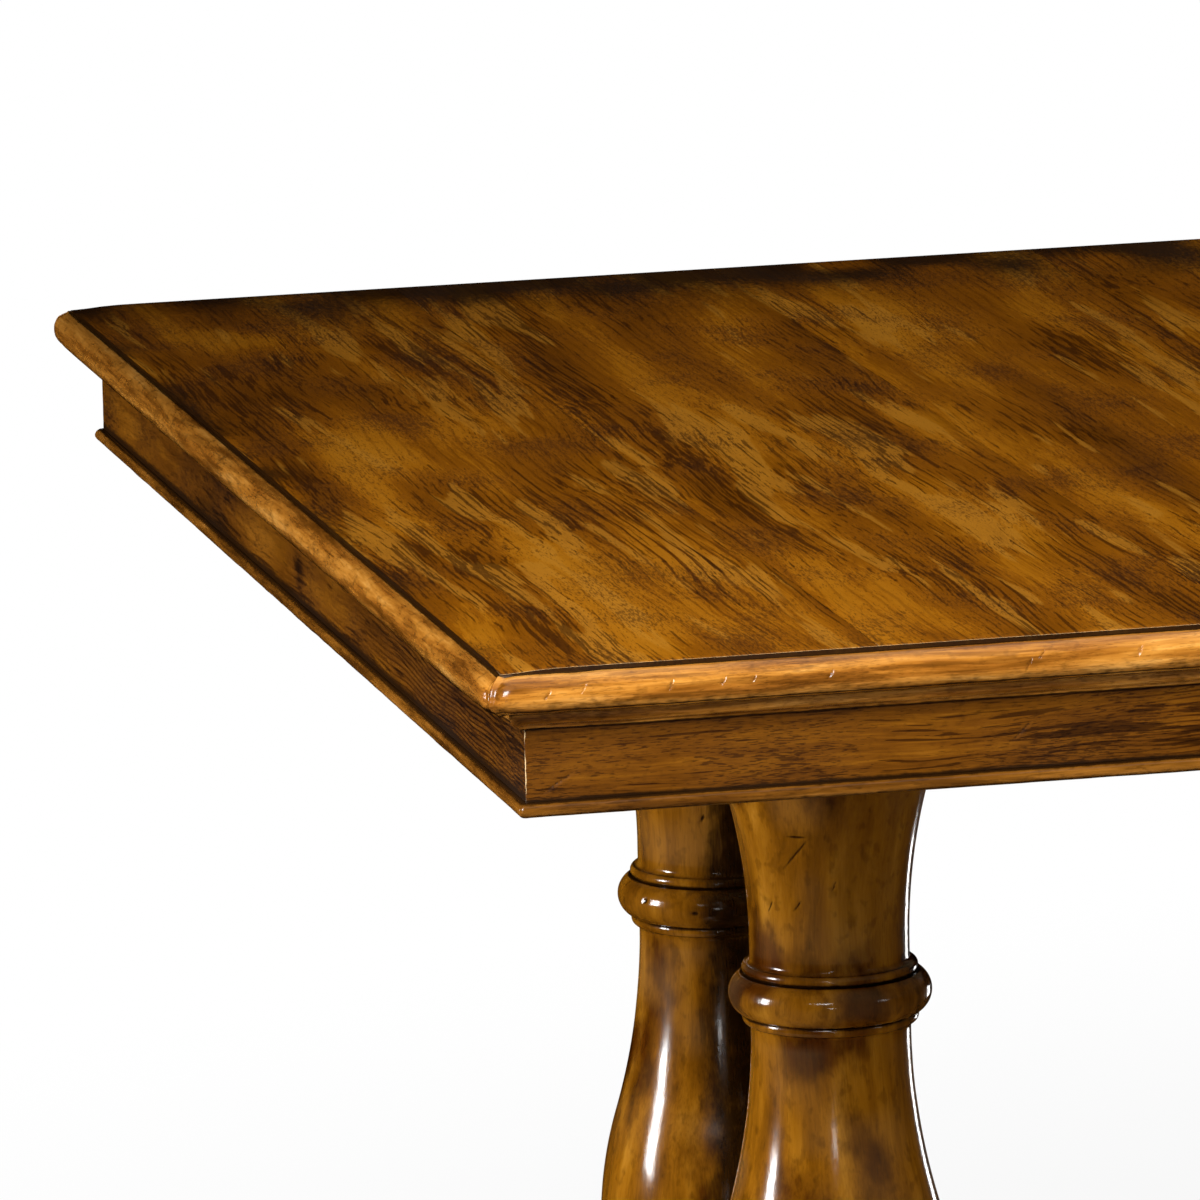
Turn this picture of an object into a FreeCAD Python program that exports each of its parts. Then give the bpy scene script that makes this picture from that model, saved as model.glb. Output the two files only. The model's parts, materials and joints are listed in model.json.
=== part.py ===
# Twin-pedestal dining table in walnut. A planked top with a mitred half-round edge lies over a shallow
# apron. Each of the two pedestals is a pair of turned columns, drawn together between a cap rail and a
# moulded platform by steel tie rods, on bun feet with screw-out levelling glides.
# Millimetres. +X runs along the table, +Y across it, +Z up. The origin is on the floor at the centre.

import FreeCAD
import Part
import math
import os

Vector = FreeCAD.Vector
ORIGIN = Vector(0, 0, 0)
UP = Vector(0, 0, 1)

# Overall size
TOP_LENGTH = 2438.0
TOP_WIDTH = 1120.0
TABLE_HEIGHT = 762.0

# Top: cross planks on a core board
PLANK_THICKNESS = 5.0
PLANK_NOMINAL_WIDTH = 186.0
CORE_THICKNESS = 24.0

# Edge moulding: a torus under a small quirk, then a cavetto on a fillet
QUIRK_DROP = 2.0
QUIRK_FLAT = 1.0
TORUS_HEIGHT = 20.0
NOSE_PROJECTION = 25.0
CAVETTO_STEP = 1.5
CAVETTO_RADIUS = 6.5
CAVETTO_FILLET_HEIGHT = 2.0
CAVETTO_FILLET_PROJECTION = 2.5

# Apron and the bead under it
APRON_THICKNESS = 22.0
APRON_HEIGHT = 35.5
BEAD_HEIGHT = 7.5
BEAD_PROJECTION = 4.5
CORNER_BLOCK_LEG = 70.0
CORNER_BLOCK_HEIGHT = 34.0

# Bearers under the top: two long runners, cross-lapped with three battens
RUNNER_WIDTH = 60.0
RUNNER_HEIGHT = 37.0
RUNNER_SPACING = 380.0
BATTEN_WIDTH = 50.0
BATTEN_HEIGHT = 30.0
BATTEN_SPACING = 470.0
LAP_DEPTH = 15.0

# Wood screws that hold runners and battens up to the core
SCREW_LENGTH = 36.0
SCREW_BITE = 15.0
SCREW_RADIUS = 2.25
SCREW_HEAD_RADIUS = 4.5
SCREW_HEAD_HEIGHT = 3.0
SCREW_END_DISTANCE = 60.0

# Pedestals: place of the columns under the top
PEDESTAL_INSET = 275.0
COLUMN_SPACING = 250.0
CAP_RAIL_LENGTH = 620.0
CAP_RAIL_WIDTH = 150.0
CAP_RAIL_HEIGHT = 50.0
CAP_RAIL_COVE = 30.0
CAP_RAIL_COVE_INSET = 4.0

# Turned column: sizes outside the neck are projections beyond the neck radius
NECK_RADIUS = 41.75
RING_DROP = 266.0
RING_HEIGHT = 20.6
RING_ROOT = 5.5
RING_BULGE = 5.75
RING_FILLET_HEIGHT = 5.5
RING_FILLET_PROJECTION = 4.25
RING_COVE_HEIGHT = 3.0
NECK_LENGTH = 8.0
FLARE_SPREAD = 18.5
LIP_HEIGHT = 17.0
LIP_STEP = 1.5
LIP_BULGE = 4.5
BULB_SWELL = 24.5
BULB_RISE = 158.0
BULB_FOOT_RISE = 88.0
BULB_CONVEX_SHARE = 0.4
LOWER_RING_HEIGHT = 18.0
LOWER_RING_BULGE = 5.0
SCOTIA_HEIGHT = 34.0
BASE_FILLET_HEIGHT = 4.0
BASE_SPREAD = 20.0
BASE_TORUS_BULGE = 7.5
TENON_RADIUS = 22.0
TENON_LENGTH = 24.0

# Tie rods through the columns
ROD_RADIUS = 6.0
ROD_END = 1.5
NUT_WIDTH = 19.0
NUT_HEIGHT = 10.0
WASHER_RADIUS = 15.0
WASHER_THICKNESS = 2.5
NUT_RECESS_DEPTH = 16.0
NUT_RECESS_MARGIN = 2.0

# Bolts that hold the cap rails up to the runners
BOLT_RADIUS = 4.0
BOLT_HEAD_WIDTH = 13.0
BOLT_HEAD_HEIGHT = 5.3
BOLT_RECESS_RADIUS = 10.0
BOLT_RECESS_DEPTH = 8.0
BOLT_BITE = 26.0
BOLT_EDGE_DISTANCE = 30.0

# Platform under each pair of columns, with its mitred moulding
PLATFORM_LENGTH = 360.0
PLATFORM_WIDTH = 660.0
PLATFORM_HEIGHT = 72.0
FRIEZE_THICKNESS = 16.0
PLATFORM_NOSE = 20.0
PLATFORM_TORUS_HEIGHT = 22.0
PLATFORM_CAVETTO_RADIUS = 5.0
PLATFORM_BEAD_HEIGHT = 9.0

# Bun feet, threaded inserts and levelling glides
FOOT_INSET = 76.0
FOOT_HEIGHT = 72.0
FOOT_BASE_RADIUS = 30.0
FOOT_BASE_HEIGHT = 4.0
FOOT_SHOULDER_RADIUS = 34.0
FOOT_BULGE = 16.0
FOOT_COLLAR_RADIUS = 38.0
FOOT_COLLAR_HEIGHT = 10.0
FOOT_TENON_RADIUS = 14.0
FOOT_TENON_LENGTH = 30.0
INSERT_RADIUS = 7.0
INSERT_LENGTH = 22.0
INSERT_FLANGE_RADIUS = 11.0
INSERT_FLANGE_THICKNESS = 2.0
GLIDE_RADIUS = 18.0
GLIDE_THICKNESS = 8.0
GLIDE_EDGE_RADIUS = 3.0
GLIDE_STEM_RADIUS = 5.0
GLIDE_STEM_LENGTH = 34.0
GLIDE_STEM_POCKET = 6.0

# Clearances, each a radial or end gap
GLUE_GAP = 0.15
SOCKET_END_GAP = 1.0
THREAD_GAP = 0.05
SCREW_GAP = 0.1
BOLT_GAP = 0.5
ROD_GAP = 1.0

# Levels, from the top down to the floor
PLANK_BOTTOM = TABLE_HEIGHT - PLANK_THICKNESS
CORE_BOTTOM = PLANK_BOTTOM - CORE_THICKNESS
RUNNER_BOTTOM = CORE_BOTTOM - RUNNER_HEIGHT
COLUMN_TOP = RUNNER_BOTTOM - CAP_RAIL_HEIGHT
TORUS_TOP = TABLE_HEIGHT - QUIRK_DROP
TORUS_BOTTOM = TORUS_TOP - TORUS_HEIGHT
CAVETTO_TOP = TORUS_BOTTOM - CAVETTO_STEP
CAVETTO_BOTTOM = CAVETTO_TOP - CAVETTO_RADIUS
APRON_TOP = CAVETTO_BOTTOM - CAVETTO_FILLET_HEIGHT
APRON_BOTTOM = APRON_TOP - APRON_HEIGHT
BEAD_BOTTOM = APRON_BOTTOM - BEAD_HEIGHT
RING_LEVEL = TABLE_HEIGHT - RING_DROP
PLATFORM_BOTTOM = GLIDE_THICKNESS + FOOT_HEIGHT
PLATFORM_TOP = PLATFORM_BOTTOM + PLATFORM_HEIGHT
SCREW_SEAT = CORE_BOTTOM - (SCREW_LENGTH - SCREW_BITE)
BOLT_SEAT = COLUMN_TOP + BOLT_RECESS_DEPTH
UPPER_NUT_SEAT = RUNNER_BOTTOM - NUT_RECESS_DEPTH
LOWER_NUT_SEAT = PLATFORM_BOTTOM + NUT_RECESS_DEPTH

# Plan: half sizes of the apron's outer and inner faces, and the places of what stands under the top
APRON_HALF_X = TOP_LENGTH / 2 - NOSE_PROJECTION
APRON_HALF_Y = TOP_WIDTH / 2 - NOSE_PROJECTION
INNER_HALF_X = APRON_HALF_X - APRON_THICKNESS
INNER_HALF_Y = APRON_HALF_Y - APRON_THICKNESS
TORUS_CENTRE = NOSE_PROJECTION - TORUS_HEIGHT / 2
FIELD_EDGE = TORUS_CENTRE - QUIRK_FLAT
PEDESTAL_X = TOP_LENGTH / 2 - PEDESTAL_INSET
PEDESTALS = {"left": -PEDESTAL_X, "right": PEDESTAL_X}
COLUMN_YS = {"front": -COLUMN_SPACING / 2, "back": COLUMN_SPACING / 2}
RUNNER_YS = {"front": -RUNNER_SPACING / 2, "back": RUNNER_SPACING / 2}
BATTEN_XS = {"left": -BATTEN_SPACING, "middle": 0.0, "right": BATTEN_SPACING}
PLATFORM_PROJECTION = FRIEZE_THICKNESS + PLATFORM_NOSE
PLATFORM_HALF_X = PLATFORM_LENGTH / 2 - PLATFORM_PROJECTION
PLATFORM_HALF_Y = PLATFORM_WIDTH / 2 - PLATFORM_PROJECTION
FOOT_X = PLATFORM_LENGTH / 2 - FOOT_INSET
FOOT_Y = PLATFORM_WIDTH / 2 - FOOT_INSET
BOLT_X = CAP_RAIL_WIDTH / 2 - BOLT_EDGE_DISTANCE


class Outline:
    """A closed outline of lines and arcs, drawn point by point in the XZ plane."""

    def __init__(self, x, z):
        self.edges = []
        self.start = Vector(x, 0, z)
        self.here = self.start

    def line(self, x, z):
        """Draws a straight edge to a point."""
        end = Vector(x, 0, z)
        self.edges.append(Part.LineSegment(self.here, end).toShape())
        self.here = end

    def arc(self, via, x, z):
        """Draws an arc through the point via to a point."""
        end = Vector(x, 0, z)
        self.edges.append(Part.Arc(self.here, via, end).toShape())
        self.here = end

    def bulge(self, z, depth):
        """Draws a bead straight up or down to the level z, standing out by depth."""
        via = Vector(self.here.x + depth, 0, (self.here.z + z) / 2)
        self.arc(via, self.here.x, z)

    def sweep_from_upright(self, x, z):
        """Draws an arc that sets off upright and ends at a point."""
        self.arc(upright_arc_middle(self.here, Vector(x, 0, z)), x, z)

    def sweep_to_upright(self, x, z):
        """Draws an arc that arrives upright at a point."""
        self.arc(upright_arc_middle(Vector(x, 0, z), self.here), x, z)

    def face(self):
        """Closes the outline and gives its face."""
        self.line(self.start.x, self.start.z)
        return Part.Face(Part.Wire(self.edges))


def upright_arc_middle(upright, other):
    """The middle of the arc that is upright at one point and ends at the other."""
    across = other.x - upright.x
    along = other.z - upright.z
    radius = (across ** 2 + along ** 2) / (2 * abs(across))
    half_turn = math.asin(abs(along) / radius) / 2
    x = upright.x + math.copysign(radius * (1 - math.cos(half_turn)), across)
    z = upright.z + math.copysign(radius * math.sin(half_turn), along)
    return Vector(x, 0, z)


def turned(face):
    """A lathe-turned solid about the Z axis."""
    return face.revolve(ORIGIN, UP, 360)


def disc(radius, low, high, x=0.0, y=0.0):
    """An upright cylinder between two levels."""
    return Part.makeCylinder(radius, high - low, Vector(x, y, low))


def block(x, y, z):
    """A box between the two ends of each range."""
    return Part.makeBox(x[1] - x[0], y[1] - y[0], z[1] - z[0], Vector(x[0], y[0], z[0]))


def around(centre, width):
    """The range of a given width about a centre."""
    return centre - width / 2, centre + width / 2


def prism(points, low, high):
    """An upright prism on a polygon of plan points."""
    corners = [Vector(x, y, low) for x, y in points]
    face = Part.Face(Part.makePolygon(corners + corners[:1]))
    return face.extrude(Vector(0, 0, high - low))


def hexagon(width, low, high, x, y):
    """A hexagonal prism of a width across flats, as a nut or a bolt head."""
    corner = width / math.sqrt(3)
    turns = [math.radians(60 * side) for side in range(6)]
    points = [(x + corner * math.cos(turn), y + corner * math.sin(turn)) for turn in turns]
    return prism(points, low, high)


def moved(shape, x, y):
    """A copy of a shape carried across the plan."""
    copy = shape.copy()
    copy.translate(Vector(x, y, 0))
    return copy


def mitred_frame(face, half_x, half_y):
    """Four strips of one section, mitred round a rectangle. The section's +X side faces outwards."""
    box = face.BoundBox
    inner = box.XMin - 1
    outer = box.XMax + 1
    strips = {}
    for turn, side in enumerate(("right", "back", "left", "front")):
        reach, half = (half_x, half_y) if turn % 2 == 0 else (half_y, half_x)
        section = face.copy()
        section.translate(Vector(reach, -(half + outer), 0))
        bar = section.extrude(Vector(0, 2 * (half + outer), 0))
        plan = [
            (reach + inner, -(half + inner)),
            (reach + outer, -(half + outer)),
            (reach + outer, half + outer),
            (reach + inner, half + inner),
        ]
        strip = bar.common(prism(plan, box.ZMin - 1, box.ZMax + 1))
        strip.rotate(ORIGIN, UP, 90 * turn)
        strips[side] = strip.Solids[0]
    return strips


def edge_moulding_section():
    """The torus, cavetto and fillet round the top, rebated at its inner top for the planks."""
    fillet = CAVETTO_FILLET_PROJECTION
    hollow = Vector(fillet + CAVETTO_RADIUS, 0, CAVETTO_BOTTOM)
    slant = CAVETTO_RADIUS * math.sqrt(0.5)
    outline = Outline(-APRON_THICKNESS, APRON_TOP)
    outline.line(-APRON_THICKNESS, PLANK_BOTTOM)
    outline.line(FIELD_EDGE, PLANK_BOTTOM)
    outline.line(FIELD_EDGE, TORUS_TOP)
    outline.line(TORUS_CENTRE, TORUS_TOP)
    outline.bulge(TORUS_BOTTOM, TORUS_HEIGHT / 2)
    outline.line(hollow.x, TORUS_BOTTOM)
    outline.line(hollow.x, CAVETTO_TOP)
    outline.arc(hollow + Vector(-slant, 0, slant), fillet, CAVETTO_BOTTOM)
    outline.line(fillet, APRON_TOP)
    return outline.face()


def apron_section():
    """A flat board under the edge moulding."""
    outline = Outline(-APRON_THICKNESS, APRON_BOTTOM)
    outline.line(-APRON_THICKNESS, APRON_TOP)
    outline.line(0.0, APRON_TOP)
    outline.line(0.0, APRON_BOTTOM)
    return outline.face()


def bead_section():
    """A half-round strip under the apron."""
    nose_start = BEAD_PROJECTION - BEAD_HEIGHT / 2
    outline = Outline(-APRON_THICKNESS, BEAD_BOTTOM)
    outline.line(-APRON_THICKNESS, APRON_BOTTOM)
    outline.line(nose_start, APRON_BOTTOM)
    outline.bulge(BEAD_BOTTOM, BEAD_HEIGHT / 2)
    return outline.face()


def platform_moulding_section():
    """The platform's torus, cavetto, flat frieze and bottom bead, in one strip."""
    torus_bottom = PLATFORM_TOP - PLATFORM_TORUS_HEIGHT
    torus_centre = PLATFORM_PROJECTION - PLATFORM_TORUS_HEIGHT / 2
    fillet = FRIEZE_THICKNESS + CAVETTO_FILLET_PROJECTION
    cavetto_top = torus_bottom - CAVETTO_STEP
    hollow = Vector(fillet + PLATFORM_CAVETTO_RADIUS, 0, cavetto_top - PLATFORM_CAVETTO_RADIUS)
    slant = PLATFORM_CAVETTO_RADIUS * math.sqrt(0.5)
    fillet_bottom = hollow.z - CAVETTO_FILLET_HEIGHT
    outline = Outline(0.0, PLATFORM_BOTTOM)
    outline.line(0.0, PLATFORM_TOP)
    outline.line(torus_centre, PLATFORM_TOP)
    outline.bulge(torus_bottom, PLATFORM_TORUS_HEIGHT / 2)
    outline.line(hollow.x, torus_bottom)
    outline.line(hollow.x, cavetto_top)
    outline.arc(hollow + Vector(-slant, 0, slant), fillet, hollow.z)
    outline.line(fillet, fillet_bottom)
    outline.line(FRIEZE_THICKNESS, fillet_bottom)
    outline.line(FRIEZE_THICKNESS, PLATFORM_BOTTOM + PLATFORM_BEAD_HEIGHT)
    outline.bulge(PLATFORM_BOTTOM, PLATFORM_BEAD_HEIGHT / 2)
    return outline.face()


def column_section():
    """The turned column from its lower tenon to its upper one, bored for the tie rod."""
    bore = ROD_RADIUS + ROD_GAP
    fillet = NECK_RADIUS + RING_FILLET_PROJECTION
    base = NECK_RADIUS + BASE_SPREAD
    bulb = NECK_RADIUS + BULB_SWELL
    lip = NECK_RADIUS + FLARE_SPREAD
    bulb_foot = PLATFORM_TOP + BULB_FOOT_RISE
    bulb_level = PLATFORM_TOP + BULB_RISE
    lower_ring_top = bulb_foot - RING_FILLET_HEIGHT
    lower_ring_bottom = lower_ring_top - LOWER_RING_HEIGHT
    scotia_top = lower_ring_bottom - RING_FILLET_HEIGHT
    scotia_bottom = scotia_top - SCOTIA_HEIGHT
    torus_top = scotia_bottom - BASE_FILLET_HEIGHT
    ring_bottom = RING_LEVEL - RING_HEIGHT / 2
    ring_top = RING_LEVEL + RING_HEIGHT / 2
    shaft_top = ring_bottom - RING_FILLET_HEIGHT - RING_COVE_HEIGHT
    neck_bottom = ring_top + RING_FILLET_HEIGHT + RING_COVE_HEIGHT
    flare_bottom = neck_bottom + NECK_LENGTH
    lip_bottom = COLUMN_TOP - LIP_HEIGHT

    outline = Outline(bore, PLATFORM_TOP - TENON_LENGTH)
    outline.line(TENON_RADIUS, PLATFORM_TOP - TENON_LENGTH)
    outline.line(TENON_RADIUS, PLATFORM_TOP)
    # Base torus, fillet and scotia
    outline.line(base, PLATFORM_TOP)
    outline.bulge(torus_top, BASE_TORUS_BULGE)
    outline.line(base, scotia_bottom)
    outline.sweep_to_upright(fillet, scotia_top)
    # Lower ring
    outline.line(fillet, lower_ring_bottom)
    outline.line(NECK_RADIUS + RING_ROOT, lower_ring_bottom)
    outline.bulge(lower_ring_top, LOWER_RING_BULGE)
    outline.line(fillet, lower_ring_top)
    outline.line(fillet, bulb_foot)
    # Vase bulb, then a long hollow taper up to the shaft
    outline.line(NECK_RADIUS, bulb_foot)
    outline.sweep_to_upright(bulb, bulb_level)
    turn_radius = bulb - BULB_CONVEX_SHARE * BULB_SWELL
    turn_level = bulb_level + BULB_CONVEX_SHARE * (shaft_top - bulb_level)
    outline.sweep_from_upright(turn_radius, turn_level)
    outline.sweep_to_upright(NECK_RADIUS, shaft_top)
    # Ring between two fillets
    outline.sweep_from_upright(fillet, shaft_top + RING_COVE_HEIGHT)
    outline.line(fillet, ring_bottom)
    outline.line(NECK_RADIUS + RING_ROOT, ring_bottom)
    outline.bulge(ring_top, RING_BULGE)
    outline.line(fillet, ring_top)
    outline.line(fillet, ring_top + RING_FILLET_HEIGHT)
    outline.sweep_to_upright(NECK_RADIUS, neck_bottom)
    # Neck and trumpet flare up to the lip
    outline.line(NECK_RADIUS, flare_bottom)
    outline.sweep_from_upright(lip, lip_bottom)
    outline.line(lip + LIP_STEP, lip_bottom)
    outline.bulge(COLUMN_TOP, LIP_BULGE)
    outline.line(TENON_RADIUS, COLUMN_TOP)
    outline.line(TENON_RADIUS, COLUMN_TOP + TENON_LENGTH)
    outline.line(bore, COLUMN_TOP + TENON_LENGTH)
    return outline.face()


def foot_section():
    """A bun foot with a collar and a tenon."""
    shoulder = PLATFORM_BOTTOM - FOOT_COLLAR_HEIGHT
    outline = Outline(0.0, GLIDE_THICKNESS)
    outline.line(FOOT_BASE_RADIUS, GLIDE_THICKNESS)
    outline.line(FOOT_BASE_RADIUS, GLIDE_THICKNESS + FOOT_BASE_HEIGHT)
    middle_radius = (FOOT_BASE_RADIUS + FOOT_SHOULDER_RADIUS) / 2 + FOOT_BULGE
    middle = Vector(middle_radius, 0, (GLIDE_THICKNESS + FOOT_BASE_HEIGHT + shoulder) / 2)
    outline.arc(middle, FOOT_SHOULDER_RADIUS, shoulder)
    outline.line(FOOT_COLLAR_RADIUS, shoulder)
    outline.line(FOOT_COLLAR_RADIUS, PLATFORM_BOTTOM)
    outline.line(FOOT_TENON_RADIUS, PLATFORM_BOTTOM)
    outline.line(FOOT_TENON_RADIUS, PLATFORM_BOTTOM + FOOT_TENON_LENGTH)
    outline.line(0.0, PLATFORM_BOTTOM + FOOT_TENON_LENGTH)
    return outline.face()


def screw_places():
    """Plan points of the wood screws, per runner and per batten."""
    runner_xs = [
        BATTEN_SPACING / 2,
        (BATTEN_SPACING + PEDESTAL_X) / 2,
        INNER_HALF_X - SCREW_END_DISTANCE,
    ]
    batten_ys = [RUNNER_SPACING / 4, (RUNNER_SPACING / 2 + INNER_HALF_Y) / 2]
    runners = {
        name: [(sign * x, y) for x in runner_xs for sign in (-1, 1)]
        for name, y in RUNNER_YS.items()
    }
    battens = {
        name: [(x, sign * y) for y in batten_ys for sign in (-1, 1)]
        for name, x in BATTEN_XS.items()
    }
    return runners, battens


def column_places():
    """Plan points of the four column axes, by pedestal and side."""
    return {
        f"{end}_{side}": (x, y) for end, x in PEDESTALS.items() for side, y in COLUMN_YS.items()
    }


def foot_places(x):
    """Plan points of one pedestal's four feet, by corner. Outer ones are nearer the table's end."""
    outward = math.copysign(FOOT_X, x)
    return {
        f"{side}_{reach}": (x + step, y)
        for side, y in (("front", -FOOT_Y), ("back", FOOT_Y))
        for reach, step in (("outer", outward), ("inner", -outward))
    }


def bolt_places(x):
    """Plan points of the bolts through one cap rail."""
    return [(x + step, y) for step in (-BOLT_X, BOLT_X) for y in RUNNER_YS.values()]


def build_planks():
    """Cross planks of equal width that fill the field inside the quirk."""
    half_x = APRON_HALF_X + FIELD_EDGE
    half_y = APRON_HALF_Y + FIELD_EDGE
    count = max(1, round(2 * half_x / PLANK_NOMINAL_WIDTH))
    width = 2 * half_x / count
    planks = {}
    for number in range(count):
        start = -half_x + number * width
        shape = block((start, start + width), (-half_y, half_y), (PLANK_BOTTOM, TABLE_HEIGHT))
        planks[f"top_plank_{number + 1:02d}"] = shape
    return planks


def build_top():
    """The core, its planks, the three mitred frames round it and the glue blocks in the corners."""
    runners, battens = screw_places()
    points = sum(list(runners.values()) + list(battens.values()), [])
    core = block(
        (-INNER_HALF_X, INNER_HALF_X), (-INNER_HALF_Y, INNER_HALF_Y), (CORE_BOTTOM, PLANK_BOTTOM)
    )
    pilot_top = CORE_BOTTOM + SCREW_BITE + SOCKET_END_GAP
    pilots = [disc(SCREW_RADIUS + THREAD_GAP, CORE_BOTTOM, pilot_top, x, y) for x, y in points]
    nodes = {"top_core": core.cut(pilots)}
    nodes.update(build_planks())
    sections = {
        "edge_moulding": edge_moulding_section(),
        "apron": apron_section(),
        "bead": bead_section(),
    }
    for piece, section in sections.items():
        for side, strip in mitred_frame(section, APRON_HALF_X, APRON_HALF_Y).items():
            nodes[f"{piece}_{side}"] = strip
    blocks = []
    for x in (-INNER_HALF_X, INNER_HALF_X):
        for y in (-INNER_HALF_Y, INNER_HALF_Y):
            beside = (x - math.copysign(CORNER_BLOCK_LEG, x), y)
            along = (x, y - math.copysign(CORNER_BLOCK_LEG, y))
            blocks.append(prism([(x, y), beside, along], CORE_BOTTOM - CORNER_BLOCK_HEIGHT, CORE_BOTTOM))
    nodes["corner_blocks"] = Part.makeCompound(blocks)
    return nodes


def screw_holes(points, bottom):
    """The recess and clearance hole of each wood screw, in a member with the given underside."""
    tools = []
    for x, y in points:
        tools.append(disc(SCREW_HEAD_RADIUS + BOLT_GAP, bottom, SCREW_SEAT, x, y))
        tools.append(disc(SCREW_RADIUS + SCREW_GAP, SCREW_SEAT, CORE_BOTTOM, x, y))
    return tools


def build_bearers():
    """Runners and battens, lapped where they cross, and the screws that hold them up."""
    nodes = {}
    lap_level = CORE_BOTTOM - LAP_DEPTH
    runner_points, batten_points = screw_places()
    bolts = bolt_places(PEDESTALS["left"]) + bolt_places(PEDESTALS["right"])
    for name, y in RUNNER_YS.items():
        span = around(y, RUNNER_WIDTH)
        bar = block((-INNER_HALF_X, INNER_HALF_X), span, (RUNNER_BOTTOM, CORE_BOTTOM))
        tools = [
            block(around(x, BATTEN_WIDTH), span, (lap_level, CORE_BOTTOM)) for x in BATTEN_XS.values()
        ]
        tools += screw_holes(runner_points[name], RUNNER_BOTTOM)
        bite = RUNNER_BOTTOM + BOLT_BITE + SOCKET_END_GAP
        tools += [
            disc(BOLT_RADIUS + THREAD_GAP, RUNNER_BOTTOM, bite, x, bolt_y)
            for x, bolt_y in bolts
            if bolt_y == y
        ]
        nodes[f"runner_{name}"] = bar.cut(tools)
    batten_bottom = CORE_BOTTOM - BATTEN_HEIGHT
    for name, x in BATTEN_XS.items():
        span = around(x, BATTEN_WIDTH)
        bar = block(span, (-INNER_HALF_Y, INNER_HALF_Y), (batten_bottom, CORE_BOTTOM))
        tools = [
            block(span, around(y, RUNNER_WIDTH), (batten_bottom, lap_level)) for y in RUNNER_YS.values()
        ]
        tools += screw_holes(batten_points[name], batten_bottom)
        nodes[f"cross_batten_{name}"] = bar.cut(tools)
    screws = []
    for points in list(runner_points.values()) + list(batten_points.values()):
        for x, y in points:
            head = disc(SCREW_HEAD_RADIUS, SCREW_SEAT - SCREW_HEAD_HEIGHT, SCREW_SEAT, x, y)
            shank = disc(SCREW_RADIUS, SCREW_SEAT, SCREW_SEAT + SCREW_LENGTH, x, y)
            screws.append(head.fuse(shank))
    nodes["bearer_screws"] = Part.makeCompound(screws)
    return nodes


def cap_rail(x):
    """A rail across the column tops, coved under its ends, with its sockets, recesses and holes."""
    half = CAP_RAIL_LENGTH / 2
    cove_start = half - CAP_RAIL_COVE_INSET
    slant = CAP_RAIL_COVE * math.sqrt(0.5)
    cove_level = COLUMN_TOP + CAP_RAIL_COVE
    outline = Outline(-half, RUNNER_BOTTOM)
    outline.line(half, RUNNER_BOTTOM)
    outline.line(half, cove_level)
    outline.line(cove_start, cove_level)
    outline.arc(Vector(cove_start - slant, 0, COLUMN_TOP + slant), cove_start - CAP_RAIL_COVE, COLUMN_TOP)
    outline.line(-cove_start + CAP_RAIL_COVE, COLUMN_TOP)
    outline.arc(Vector(-cove_start + slant, 0, COLUMN_TOP + slant), -cove_start, cove_level)
    outline.line(-half, cove_level)
    rail = outline.face().extrude(Vector(0, CAP_RAIL_WIDTH, 0))
    rail.translate(Vector(0, -CAP_RAIL_WIDTH / 2, 0))
    rail.rotate(ORIGIN, UP, 90)
    rail.translate(Vector(x, 0, 0))
    recess = WASHER_RADIUS + NUT_RECESS_MARGIN
    tools = []
    for y in COLUMN_YS.values():
        tools.append(disc(TENON_RADIUS + GLUE_GAP, COLUMN_TOP, COLUMN_TOP + TENON_LENGTH + SOCKET_END_GAP, x, y))
        tools.append(disc(ROD_RADIUS + ROD_GAP, COLUMN_TOP, RUNNER_BOTTOM, x, y))
        tools.append(disc(recess, UPPER_NUT_SEAT, RUNNER_BOTTOM, x, y))
    for bolt_x, bolt_y in bolt_places(x):
        tools.append(disc(BOLT_RECESS_RADIUS, COLUMN_TOP, BOLT_SEAT, bolt_x, bolt_y))
        tools.append(disc(BOLT_RADIUS + BOLT_GAP, BOLT_SEAT, RUNNER_BOTTOM, bolt_x, bolt_y))
    return rail.cut(tools)


def platform(x):
    """The platform's core block, with its column sockets, nut recesses and foot sockets."""
    body = block(
        around(x, 2 * PLATFORM_HALF_X), around(0.0, 2 * PLATFORM_HALF_Y), (PLATFORM_BOTTOM, PLATFORM_TOP)
    )
    recess = WASHER_RADIUS + NUT_RECESS_MARGIN
    tools = []
    for y in COLUMN_YS.values():
        tools.append(disc(TENON_RADIUS + GLUE_GAP, PLATFORM_TOP - TENON_LENGTH - SOCKET_END_GAP, PLATFORM_TOP, x, y))
        tools.append(disc(ROD_RADIUS + ROD_GAP, PLATFORM_BOTTOM, PLATFORM_TOP, x, y))
        tools.append(disc(recess, PLATFORM_BOTTOM, LOWER_NUT_SEAT, x, y))
    socket_top = PLATFORM_BOTTOM + FOOT_TENON_LENGTH + SOCKET_END_GAP
    for foot_x, foot_y in foot_places(x).values():
        tools.append(disc(FOOT_TENON_RADIUS + GLUE_GAP, PLATFORM_BOTTOM, socket_top, foot_x, foot_y))
    return body.cut(tools)


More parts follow.
